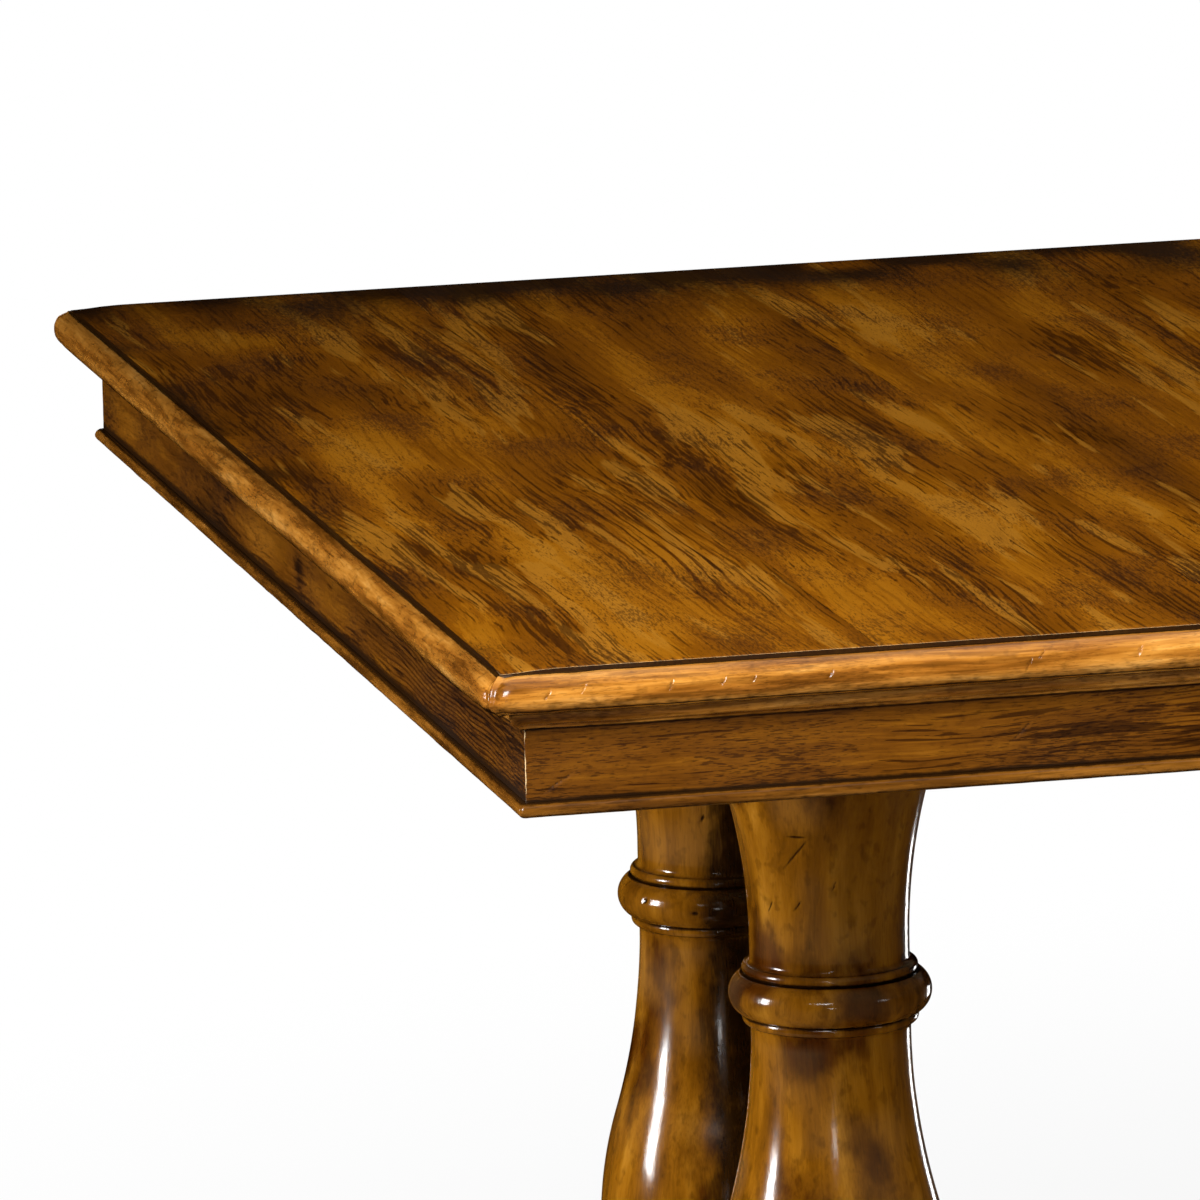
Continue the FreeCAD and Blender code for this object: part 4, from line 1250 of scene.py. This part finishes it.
# What the photograph shows. Light and dark patches on planks 1 to 3: place in plan, half sizes and level
PLANK_FLAMES: dict[int, Blobs] = {
    1: (
        Blob(-1150, 50, 22, 55, 0.2), Blob(-1166, -60, 14, 65, 0.26), Blob(-1176, -170, 14, 60, 0.22),
        Blob(-1120, -300, 55, 130, 0.03), Blob(-1130, -440, 70, 130, 0.06), Blob(-1196, -20, 11, 90, -0.3),
        Blob(-1138, -80, 15, 60, -0.16), Blob(-1138, 405, 28, 45, 0.24), Blob(-1195, 420, 14, 110, -0.2),
        Blob(-1150, 230, 40, 70, -0.12),
    ),
    2: (
        Blob(-885, -270, 22, 150, 0.12), Blob(-935, -330, 20, 150, -0.10), Blob(-975, -300, 40, 160, 0.1),
        Blob(-960, 330, 40, 120, -0.05),
    ),
    3: (Blob(-815, -40, 24, 150, 0.13), Blob(-770, -150, 18, 160, -0.12), Blob(-812, 380, 34, 110, 0.14)),
}
# Growth lines on them
PLANK_RINGS: dict[int, Blobs] = {
    1: (Blob(-1060, -260, 34, 260, 0.9), Blob(-1040, 250, 20, 200, 0.5)),
    2: (Blob(-1000, 150, 30, 300, 0.55),),
}
# Patches on the left apron: place from the far end to the near one, level, half sizes and lightness
APRON_FLAMES: Blobs = (
    Blob(-430, 708, 110, 30, 0.08), Blob(-215, 700, 55, 12, -0.2), Blob(-95, 712, 55, 13, 0.14),
    Blob(5, 712, 9, 9, -0.3), Blob(75, 714, 50, 11, 0.1), Blob(150, 700, 45, 9, -0.12),
)
# Small crescents on the front nose and long scars on the front apron: place, level, length, lean and,
# where they aren't the usual ones, width and depth
NOSE_NICKS = (
    Cut(-1164, 751, 6, 60, 1.9, 0.9), Cut(-1147, 753, 5, 70, 1.6, 0.9), Cut(-1105, 752, 6, 75, 1.8, 1.0),
    Cut(-1080, 752, 5, 65, 1.9, 0.9), Cut(-1065, 752.5, 4, 70, 1.7, 0.8), Cut(-1028, 752, 5, 60, 1.9, 0.7),
    Cut(-932, 750, 8, 65, 1.7, 0.9), Cut(-926, 754.5, 5, 60, 1.7, 0.8), Cut(-878, 753, 6, 80, 2.1, 0.9),
)
APRON_SCARS = (Cut(-1178, 703.5, 24, 31), Cut(-949, 712.5, 16, 42))
# Scratches on the left pair of columns: degrees round the column, then as above
COLUMN_SCARS = {
    "front": (
        Cut(-125, 577, 26, 48, 1.9, 0.7), Cut(-124.5, 586.2, 15, 3, 2.0, 0.6), Cut(-126, 549, 10, 50),
        Cut(-149, 547, 9, 60), Cut(-100, 560, 6, 70, 1.2),
    ),
    "back": (Cut(-112, 545, 5, 60, 2.6), Cut(-116, 495, 5, 0, 4.0), Cut(-150, 499, 5, 20, 4.0)),
}


@dataclass
class TableTop:
    """The planked field with its mitred edge moulding, apron and bead. Lengths are in millimetres."""

    finishes: Materials
    thickness: float = 5.0
    quirk_drop: float = 2.0
    quirk_flat: float = 1.0
    torus_height: float = 20.0
    nose: float = 25.0
    cavetto_step: float = 1.5
    cavetto_radius: float = 6.5
    fillet_height: float = 2.0
    fillet_out: float = 2.5
    board: float = 22.0
    bead_height: float = 7.5
    bead_out: float = 4.5
    plank_count: int = 13
    patches_per_plank: int = 6
    knocks_per_metre: float = 16.0

    def __post_init__(self) -> None:
        """Reads the levels that the CAD model sets and works out the torus's."""
        self.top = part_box("top_plank_01")[1][2] / MM
        self.foot, self.head = (corner[2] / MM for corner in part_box("apron_front"))
        self.torus_top = self.top - self.quirk_drop
        self.torus_low = self.torus_top - self.torus_height
        self.round_out = self.nose - self.torus_height / 2

    def sections(self) -> dict[str, np.ndarray]:
        """Draws the three mouldings' outlines, outwards from the apron's face and up from the floor.

        Returns:
            Closed outlines by node family.
        """
        back, under, quirk_out = -self.board, self.top - self.thickness, self.round_out - self.quirk_flat
        cove_top = self.torus_low - self.cavetto_step
        cove_out = self.fillet_out + self.cavetto_radius
        edge = Outline(back, under, 0.7)
        edge.lines((quirk_out, under, 6.0), (quirk_out, self.torus_top, 1.0))
        edge.line(self.round_out, self.torus_top, 0.5)
        edge.arc((self.nose, (self.torus_top + self.torus_low) / 2), (self.round_out, self.torus_low))
        edge.lines((cove_out, self.torus_low, 1.0), (cove_out, cove_top))
        edge.sweep(self.fillet_out, cove_top - self.cavetto_radius, upright_first=True)
        edge.lines((self.fillet_out, self.head), (0.0, self.head))
        edge.lines((back, self.head, 6.0), (back, under, 6.0))
        apron = Outline(back, self.head, 1.2)
        apron.lines((0.0, self.head, 4.0), (0.0, self.foot), (back, self.foot, 4.0), (back, self.head, 6.0))
        bead_low = self.foot - self.bead_height
        bead = Outline(back, self.foot, 0.5)
        bead.line(self.bead_out - self.bead_height / 2, self.foot, 4.0)
        bead.bulge(bead_low, self.bead_height / 2)
        bead.lines((back, bead_low, 4.0), (back, self.foot, 4.0))
        return {"edge_moulding": edge.closed(), "apron": apron.closed(), "bead": bead.closed()}

    def build(self) -> None:
        """Builds and dresses the planks and the frame round them."""
        rng = random.Random(SEED)
        last = f"top_plank_{self.plank_count:02d}"
        rim = np.array([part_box(last)[1][0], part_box("top_plank_01")[1][1]]) / MM
        slot = "walnut_planks"
        for number in range(1, self.plank_count + 1):
            node = f"top_plank_{number:02d}"
            low, high = (tuple(c / MM for c in corner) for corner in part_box(node))
            flames, rings = self.figure(number, low, high, rng)
            surface = Surface()
            Slab(low, high).build(surface, rng, rim, flames, rings)
            surface.piece(f"figured_plank_{number:02d}", self.finishes[slot], "root", node)
        self.build_frame(rng)

    def figure(self, number: int, low: Triple, high: Triple, rng: random.Random) -> tuple[Blobs, Blobs]:
        """Lays out a plank's figure: as listed where the photograph shows it, else by chance.

        Args:
            number: Plank, counted from the left end.
            low: Its lowest corner.
            high: Its highest corner.
            rng: Seeded source of the planks that no picture shows.

        Returns:
            Ovals of lighter or darker figure, and ovals of growth lines.
        """
        if number in PLANK_FLAMES:
            return PLANK_FLAMES[number], PLANK_RINGS.get(number, ())
        flames = []
        for _ in range(self.patches_per_plank):
            x, y = rng.uniform(low[0], high[0]), rng.uniform(low[1], high[1])
            half_x, half_y = rng.uniform(18, 42), rng.uniform(80, 170)
            flames.append(Blob(x, y, half_x, half_y, rng.choice((-0.13, 0.1, 0.16))))
        edge = rng.choice((low[0], high[0]))
        return tuple(flames), (Blob(edge, rng.uniform(low[1], high[1]), 40, 280, 0.7),)

    def runs(self, side: Side) -> dict[str, Run]:
        """Lays out the wear, the glaze and the painted shade of one side's mouldings.

        Args:
            side: Side of the frame.

        Returns:
            Runs by node family.
        """
        low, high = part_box("apron_front")
        half, offset = side.sizes(high[0] / MM, -low[1] / MM)
        count = round(half * 2 / 1000 * self.knocks_per_metre)
        front, left = side is Side.FRONT, side is Side.LEFT
        ribs = {Side.LEFT: (370.0, 190.0), Side.FRONT: (-815.0, 80.0)}
        rib_place, rib_reach = ribs.get(side, (0.0, 130.0))
        # Dark lines: glaze in the quirk, and painted shade along the torus's lower contour, wider on the
        # left
        edge_lines = (
            GlazeAndShadeLine(self.torus_low, 1.4), GlazeAndShadeLine(self.torus_low + 4.0, 4.5, 0.46),
            GlazeAndShadeLine(self.head, 0.8), GlazeAndShadeLine(self.torus_top, 0.1 if left else 0.05, 0.9),
            GlazeAndShadeLine(self.torus_low + 2.5, 2.9 if left else 0.5, 0.95),
        )
        return {
            "edge_moulding": Run(
                half, offset, station=2.0, corner_round=11.0, corner_chips=0.25, lump=0.3, lump_size=13.0,
                corner_lumps=5.0, cuts=NOSE_NICKS if front else (), dent_glaze=0.3,
                # The left run is washed darker than the front
                knocks=Knocks(count, (2.5, 6.5), (1.2, 2.6), (0.4, 0.9)), wash=0.2 if left else 0.0,
                lines=edge_lines, round_from=(14.0, 20.0),
            ),
            "apron": Run(
                half, offset, station=5.0, corner_round=0.9, corner_chips=0.7, lump=0.12, lump_size=30.0,
                knocks=Knocks(count // 6, depth=(0.1, 0.3)), cuts=APRON_SCARS if front else (), shade=0.25,
                underside_shade=0.0, ribs=1.0, rib_place=rib_place, rib_reach=rib_reach, rub_highlight=0.35,
                # A band of painted shade above the bead, wider on the left, and a dark line at the head
                lines=(GlazeAndShadeLine(self.foot, 4.5 if left else 1.5), GlazeAndShadeLine(self.head, 1.0, 0.8)),
                flames=APRON_FLAMES if left else (),
            ),
            "bead": Run(
                half, offset, station=2.0, corner_round=2.2, corner_chips=0.4, lump=0.22, lump_size=16.0,
                knocks=Knocks(count // 4, (2.0, 5.0), (0.5, 1.2)), shade=0.2, wash=0.12, underside_shade=0.65,
                lines=(GlazeAndShadeLine(self.foot, 0.7),),
            ),
        }

    def build_frame(self, rng: random.Random) -> None:
        """Builds the mouldings of all four sides.

        Args:
            rng: Seeded source of their wear.
        """
        sections = self.sections()
        low, field_in, field_out = self.top - self.thickness, -60.0, self.round_out - self.quirk_flat
        planks = [(field_in, low), (field_out, low), (field_out, self.top), (field_in, self.top)]
        walls = list(sections.values()) + [np.array(planks)]
        slots = {"edge_moulding": "walnut_moulding", "apron": "walnut_apron", "bead": "walnut_moulding"}
        looks = {family: self.finishes[slot] for family, slot in slots.items()}
        looks["bead"] = self.finishes["walnut_bead"]
        for (family, section), side in product(sections.items(), Side):
            surface = Surface()
            self.runs(side)[family].build(surface, section, walls, side, (0.0, 0.0), rng)
            node = f"{family}_{side.label}"
            surface.piece(f"worn_{node}", looks[family], "root", node)


@dataclass
class Pedestal:
    """One pair of turned columns on its moulded platform, bun feet and glides, in millimetres."""

    end: str
    finishes: Materials
    neck: float = 41.75
    ring_level: float = 496.0
    ring_height: float = 20.6
    ring_root: float = 5.5
    ring_bulge: float = 5.75
    fillet_height: float = 5.5
    fillet_out: float = 4.25
    fillet_round: float = 1.4
    cove_height: float = 3.0
    neck_length: float = 8.0
    flare: float = 18.5
    lip_height: float = 17.0
    lip_step: float = 1.5
    lip_bulge: float = 4.5
    bulb_swell: float = 24.5
    bulb_rise: float = 158.0
    bulb_foot: float = 88.0
    convex_share: float = 0.4
    lower_ring: float = 18.0
    lower_bulge: float = 5.0
    scotia: float = 34.0
    base_fillet: float = 4.0
    base_spread: float = 20.0
    base_bulge: float = 7.5
    bore: float = 7.0
    platform_torus: float = 22.0
    platform_frieze: float = 16.0
    platform_nose: float = 20.0
    platform_step: float = 1.5
    platform_cove: float = 5.0
    platform_fillet: float = 2.0
    platform_bead: float = 9.0
    knock_spacing: float = 25.0
    foot_base: float = 30.0
    foot_rise: float = 4.0
    foot_shoulder: float = 34.0
    foot_bulge: float = 16.0
    foot_collar: float = 38.0
    collar_height: float = 10.0
    collar_bulge: float = 0.6
    foot_bore: float = 11.5
    foot_segments: int = 128
    scars: dict[str, tuple[Cut, ...]] = field(default_factory=dict)

    def column_section(self, foot: float, top: float) -> np.ndarray:
        """Draws the column from the platform's top to the cap rail.

        Args:
            foot: Level of the platform's top.
            top: Level of the cap rail's underside.

        Returns:
            The closed outline (radius, level), hollow along the tie rod.
        """
        fillet, base = self.neck + self.fillet_out, self.neck + self.base_spread
        bulb, lip, root = self.neck + self.bulb_swell, self.neck + self.flare, self.neck + self.ring_root
        lower_top = foot + self.bulb_foot - self.fillet_height
        lower_low = lower_top - self.lower_ring
        scotia_top = lower_low - self.fillet_height
        scotia_low = scotia_top - self.scotia
        ring_low = self.ring_level - self.ring_height / 2
        ring_high = self.ring_level + self.ring_height / 2
        shaft_top = ring_low - self.fillet_height - self.cove_height
        line = Outline(self.bore, foot, 1.2)
        line.line(base, foot, 8.0)
        line.bulge(scotia_low - self.base_fillet, self.base_bulge)
        line.line(base, scotia_low)
        line.sweep(fillet, scotia_top, upright_first=False)
        line.lines((fillet, lower_low), (root, lower_low))
        line.bulge(lower_top, self.lower_bulge)
        line.lines((fillet, lower_top), (fillet, foot + self.bulb_foot), (self.neck, foot + self.bulb_foot))
        line.step = 3.0
        line.sweep(bulb, foot + self.bulb_rise, upright_first=False)
        turn_level = foot + self.bulb_rise + self.convex_share * (shaft_top - foot - self.bulb_rise)
        line.sweep(bulb - self.convex_share * self.bulb_swell, turn_level, upright_first=True)
        line.sweep(self.neck, shaft_top, upright_first=False)
        line.step = 0.7
        soft = fillet - self.fillet_round
        line.sweep(soft, shaft_top + self.cove_height, upright_first=True)
        line.bulge(ring_low, self.fillet_round)
        line.line(root, ring_low)
        line.bulge(ring_high, self.ring_bulge)
        line.line(soft, ring_high)
        line.bulge(ring_high + self.fillet_height, self.fillet_round)
        line.sweep(self.neck, ring_high + self.fillet_height + self.cove_height, upright_first=False)
        line.step = 1.3
        line.line(self.neck, ring_high + self.fillet_height + self.cove_height + self.neck_length)
        line.sweep(lip, top - self.lip_height, upright_first=True)
        line.step = 1.0
        line.line(lip + self.lip_step, top - self.lip_height)
        line.bulge(top, self.lip_bulge)
        line.lines((self.bore, top, 8.0), (self.bore, foot, 30.0))
        return line.closed()

    def build(self) -> None:
        """Builds and dresses the pedestal's shown pieces."""
        rng = random.Random(SEED + len(self.end))
        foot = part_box(f"platform_{self.end}")[1][2] / MM
        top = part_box(f"cap_rail_{self.end}")[0][2] / MM
        section = self.column_section(foot, top)
        for row, twin in (("front", 90.0), ("back", -90.0)):
            node = f"column_{self.end}_{row}"
            surface = Surface()
            Turning(section, cuts=self.scars.get(row, ()), twin=twin).build(surface, *middle(node), rng)
            surface.piece(f"turned_{node}", self.finishes["walnut_turning"], "root", node)
        self.build_platform(rng)
        self.build_feet(rng)

    def build_platform(self, rng: random.Random) -> None:
        """Builds the moulding round the platform.

        Args:
            rng: Seeded source of its wear.
        """
        low, high = (np.array(corner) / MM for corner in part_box(f"platform_{self.end}"))
        top, bottom, frieze = high[2], low[2], self.platform_frieze
        out = frieze + self.platform_nose - self.platform_torus / 2
        step_out, torus_low = out - self.platform_step, top - self.platform_torus
        step_low = torus_low - self.platform_step
        cove_out, cove_low = step_out - self.platform_cove, step_low - self.platform_cove
        fillet_low = cove_low - self.platform_fillet
        line = Outline(0.0, top, 1.0)
        line.line(out, top, 4.0)
        line.arc((frieze + self.platform_nose, top - self.platform_torus / 2), (out, torus_low))
        line.lines((step_out, torus_low), (step_out, step_low))
        line.sweep(cove_out, cove_low, upright_first=True)
        line.lines((cove_out, fillet_low), (frieze, fillet_low), (frieze, bottom + self.platform_bead, 2.0))
        line.bulge(bottom, self.platform_bead / 2)
        line.lines((0.0, bottom, 4.0), (0.0, top, 8.0))
        section = line.closed()
        half = (high - low) / 2
        centre = ((low[0] + high[0]) / 2, (low[1] + high[1]) / 2)
        surface = Surface()
        for side in Side:
            length, offset = side.sizes(half[0], half[1])
            run = Run(
                length, offset, station=4.0, corner_round=5.0, corner_chips=0.3, lump=0.4, lump_size=14.0,
                knocks=Knocks(round(length * 2 / self.knock_spacing)),
            )
            run.build(surface, section, [section], side, centre, rng)
        node = f"platform_mouldings_{self.end}"
        surface.piece(f"worn_{node}", self.finishes["walnut_moulding"], "root", node)

    def build_feet(self, rng: random.Random) -> None:
        """Turns the four bun feet.

        Args:
            rng: Seeded source of their unevenness.
        """
        node = f"bun_feet_{self.end}"
        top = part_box(f"platform_{self.end}")[0][2] / MM
        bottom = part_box(node)[0][2] / MM
        rise, shoulder = bottom + self.foot_rise, top - self.collar_height
        swell = (self.foot_base + self.foot_shoulder) / 2 + self.foot_bulge
        line = Outline(self.foot_bore, bottom, 1.5)
        line.lines((self.foot_base, bottom, 4.0), (self.foot_base, rise))
        line.arc((swell, (rise + shoulder) / 2), (self.foot_shoulder, shoulder))
        line.line(self.foot_collar, shoulder)
        line.bulge(top, self.collar_bulge)
        line.lines((self.foot_bore, top, 6.0), (self.foot_bore, bottom, 12.0))
        section = line.closed()
        surface = Surface()
        for glide in sorted(name for name in frame["nodes"] if name.startswith(f"glide_{self.end}_")):
            Turning(section, segments=self.foot_segments).build(surface, *middle(glide), rng)
        surface.piece(f"turned_{node}", self.finishes["walnut_turning"], "root", node)


@dataclass
class Hardware:
    """The hidden timber and the steel, which keep their CAD shapes under new finishes."""

    finishes: Materials
    cross_pieces: tuple[str, ...] = ("cross_batten_", "cap_rail_")

    def dress(self) -> None:
        """Gives each CAD node that still shows the finish of its slot."""
        slots = {part["node"]: part["material_slot"] for part in frame["record"]["subparts"]}
        for node, obj in frame["nodes"].items():
            lies_across = slots[node] == "bearer_wood" and node.startswith(self.cross_pieces)
            material = self.finishes.get("cross_bearer" if lies_across else slots[node])
            if material is None:
                continue
            obj.data.materials.clear()
            obj.data.materials.append(material)
            LOG.info("%s: CAD shape in %s", node, material.name)


@dataclass
class Softbox:
    """An area lamp aimed at the table, in metres and watts."""

    name: str
    place: Triple
    aim: Triple
    size: Pair
    power: float

    def build(self) -> None:
        """Adds the lamp, out of the camera's sight."""
        lamp = bpy.data.lights.new(self.name, "AREA")
        lamp.shape = "RECTANGLE"
        lamp.size, lamp.size_y = self.size
        lamp.energy = self.power
        obj = bpy.data.objects.new(self.name, lamp)
        obj.location = self.place
        obj.rotation_euler = (Vector(self.aim) - Vector(self.place)).to_track_quat("-Z", "Y").to_euler()
        obj.visible_camera = False
        bpy.context.scene.collection.objects.link(obj)


@dataclass
class Studio:
    """The camera, the pale floor and the soft light, in metres, radians and lens millimetres."""

    place: Triple = (-2.42908, -6.09150, 1.89757)
    yaw: float = 0.2253336
    pitch: float = 0.1917978
    roll: float = -0.0230854
    lens: float = 365.36
    sensor: float = 36.0
    floor_half: float = 200.0
    floor_paint: str = "#b4b2ad"
    # The floor shows this share of white by the table, and all of it past the second distance
    near_white: float = 0.9
    white_span: Pair = (0.9, 2.3)
    velvet: str = "#040404"
    velvet_sides: int = 16
    # Radius and level of the velvet's hole, of its foot and of its rim
    velvet_rings: tuple[Pair, ...] = ((0.02, 0.004), (8.0, 0.004), (8.0, 9.0))
    card_x: float = -1.5
    card_y: Pair = (-0.62, 0.9)
    card_z: Pair = (0.785, 1.7)
    fill: float = 0.05
    lamps: tuple[Softbox, ...] = (
        Softbox("key_high", (-1.85, -2.1, 1.9), (-0.95, -0.4, 0.7), (0.9, 0.9), 102.0),
        Softbox("key_right", (1.85, -2.1, 1.9), (0.95, -0.4, 0.7), (0.9, 0.9), 40.0),
        Softbox("side_low", (-3.9, 0.1, 1.0), (-0.9, 0.0, 0.5), (0.5, 1.0), 120.0),
        Softbox("front_low", (-1.9, -4.5, 0.7), (-0.9, 0.0, 0.5), (0.15, 0.35), 5.5),
        Softbox("overhead", (-0.4, -0.2, 3.0), (-0.4, -0.2, 0.7), (2.4, 1.6), 6.0),
        Softbox("rim_right", (0.32, 1.01, 0.22), (-0.94, -0.12, 0.5), (0.12, 0.35), 3.0),
    )

    def build(self) -> None:
        """Builds the whole studio."""
        self.build_camera()
        self.build_floor()
        self.build_flags()
        self.build_light()
        bpy.context.scene.view_settings.view_transform = "Standard"

    def build_camera(self) -> None:
        """Adds the long lens that the photograph was solved for."""
        c, s = math.cos(self.pitch), math.sin(self.pitch)
        ahead = Vector((math.sin(self.yaw) * c, math.cos(self.yaw) * c, -s))
        right = Vector((math.cos(self.yaw), -math.sin(self.yaw), 0.0))
        down = ahead.cross(right)
        tilt_c, tilt_s = math.cos(self.roll), math.sin(self.roll)
        right, down = right * tilt_c - down * tilt_s, right * tilt_s + down * tilt_c
        turn = Matrix((right, -down, -ahead)).transposed()
        data = bpy.data.cameras.new("long_lens")
        data.lens = self.lens
        data.sensor_width = self.sensor
        data.clip_end = 1000.0
        camera = bpy.data.objects.new("camera", data)
        camera.matrix_world = Matrix.Translation(self.place) @ turn.to_4x4()
        bpy.context.scene.collection.objects.link(camera)
        bpy.context.scene.camera = camera

    def seen(self, tree: Tree) -> Socket:
        """Tells rays that see a thing, straight or in a mirror or through glass, from rays that light it.

        Args:
            tree: Node tree that asks.

        Returns:
            A socket that is 1 for the camera's, glossy and transmission rays.
        """
        seen = add(tree, "ShaderNodeLightPath", out="Is Camera Ray")
        path = seen.node
        for kind in ("Is Glossy Ray", "Is Transmission Ray"):
            seen = add(tree, MATH, {0: seen, 1: path.outputs[kind]}, operation="MAXIMUM")
        return seen

    def sheet(
        self, name: str, points: list[Triple], faces: list, material: bpy.types.Material,
        hidden: tuple[str, ...],
    ) -> None:
        """Adds one sheet of the set.

        Args:
            name: Its name.
            points: Its corners.
            faces: Corner numbers of its faces.
            material: Its finish.
            hidden: Kinds of ray that don't meet it.
        """
        mesh = bpy.data.meshes.new(name)
        mesh.from_pydata(points, [], faces)
        mesh.materials.append(material)
        sheet = bpy.data.objects.new(name, mesh)
        for ray in hidden:
            setattr(sheet, f"visible_{ray}", False)
        bpy.context.scene.collection.objects.link(sheet)

    def build_floor(self) -> None:
        """Adds the floor, a matt pale sheet that shows white far off and keeps the shadow by the table."""
        material, t = new_material("studio_floor_painted_matt")
        place = add(t, "ShaderNodeTexCoord", out="Object")
        far = add(t, VECTOR, {0: place}, out="Value", operation="LENGTH")
        near, white = self.white_span
        span = {"Value": far, "From Min": near, "From Max": white, "To Min": self.near_white, "To Max": 1.0}
        share = add(t, MATH, {0: self.seen(t), 1: add(t, RANGE, span, **EASED)}, operation="MULTIPLY")
        paint = add(t, "ShaderNodeBsdfDiffuse", {"Color": linear(self.floor_paint)})
        glow = add(t, "ShaderNodeEmission", {"Color": WHITE, "Strength": 1.0})
        blend = add(t, "ShaderNodeMixShader", {0: share, 1: paint, 2: glow})
        add(t, OUTPUT, {"Surface": blend})
        h = self.floor_half
        points = [(-h, -h, 0.0), (h, -h, 0.0), (h, h, 0.0), (-h, h, 0.0)]
        self.sheet("studio_floor", points, [(0, 1, 2, 3)], material, ())

    def build_flags(self) -> None:
        """Lays and stands dark velvet round the set, so that the lacquer doesn't mirror the white room."""
        material, t = new_material("black_velvet_stretched")
        cloth = add(t, "ShaderNodeBsdfDiffuse", {"Color": linear(self.velvet)})
        add(t, OUTPUT, {"Surface": cloth})
        spots = [math.tau * i / self.velvet_sides for i in range(self.velvet_sides)]
        surround = [(r * math.cos(a), r * math.sin(a), z) for r, z in self.velvet_rings for a in spots]
        faces = grid_faces(len(self.velvet_rings), self.velvet_sides, wrap_columns=True).tolist()
        hidden = ("camera", "diffuse", "transmission")
        self.sheet("studio_surround", surround, faces, material, hidden + ("shadow",))
        # This card stands between the low side lamp and the top, which the lamp would glare on
        (near, far), (low, high) = self.card_y, self.card_z
        card = [(self.card_x, y, z) for y, z in ((near, low), (far, low), (far, high), (near, high))]
        self.sheet("studio_card", card, [(0, 1, 2, 3)], material, hidden)

    def build_light(self) -> None:
        """Adds the white surround, dimmer where it only lights things, and the softboxes."""
        world = bpy.data.worlds.new("studio_white")
        bpy.context.scene.world = world
        world.use_nodes = True
        t = world.node_tree
        t.nodes.clear()
        fill, white = (
            add(t, "ShaderNodeBackground", {"Color": WHITE, "Strength": strength})
            for strength in (self.fill, 1.0)
        )
        blend = add(t, "ShaderNodeMixShader", {0: self.seen(t), 1: fill, 2: white})
        add(t, "ShaderNodeOutputWorld", {"Surface": blend})
        for lamp in self.lamps:
            lamp.build()


def main() -> None:
    """Builds the studio, then the table from its top down."""
    logging.basicConfig(level=logging.INFO, format="%(message)s")
    Studio().build()
    walnut = {
        "walnut_planks": PLANK_WALNUT,
        "walnut_moulding": MOULDING_WALNUT,
        "walnut_bead": BEAD_WALNUT,
        "walnut_apron": APRON_WALNUT,
        "walnut_turning": TURNED_WALNUT,
    }
    finishes = {slot: finish.material() for slot, finish in walnut.items()}
    TableTop(finishes).build()
    Pedestal("left", finishes, scars=COLUMN_SCARS).build()
    Pedestal("right", finishes).build()
    plain = {
        "core_board": CORE_BOARD,
        "bearer_wood": BEARER_WOOD,
        "cross_bearer": CROSS_BEARER,
        "walnut_platform": PLATFORM_WALNUT,
        "zinc_steel": ZINC_STEEL,
        "glide_steel": GLIDE_STEEL,
        "brass_insert": BRASS,
    }
    Hardware({slot: finish.material() for slot, finish in plain.items()}).dress()


if __name__ == "__main__":
    main()
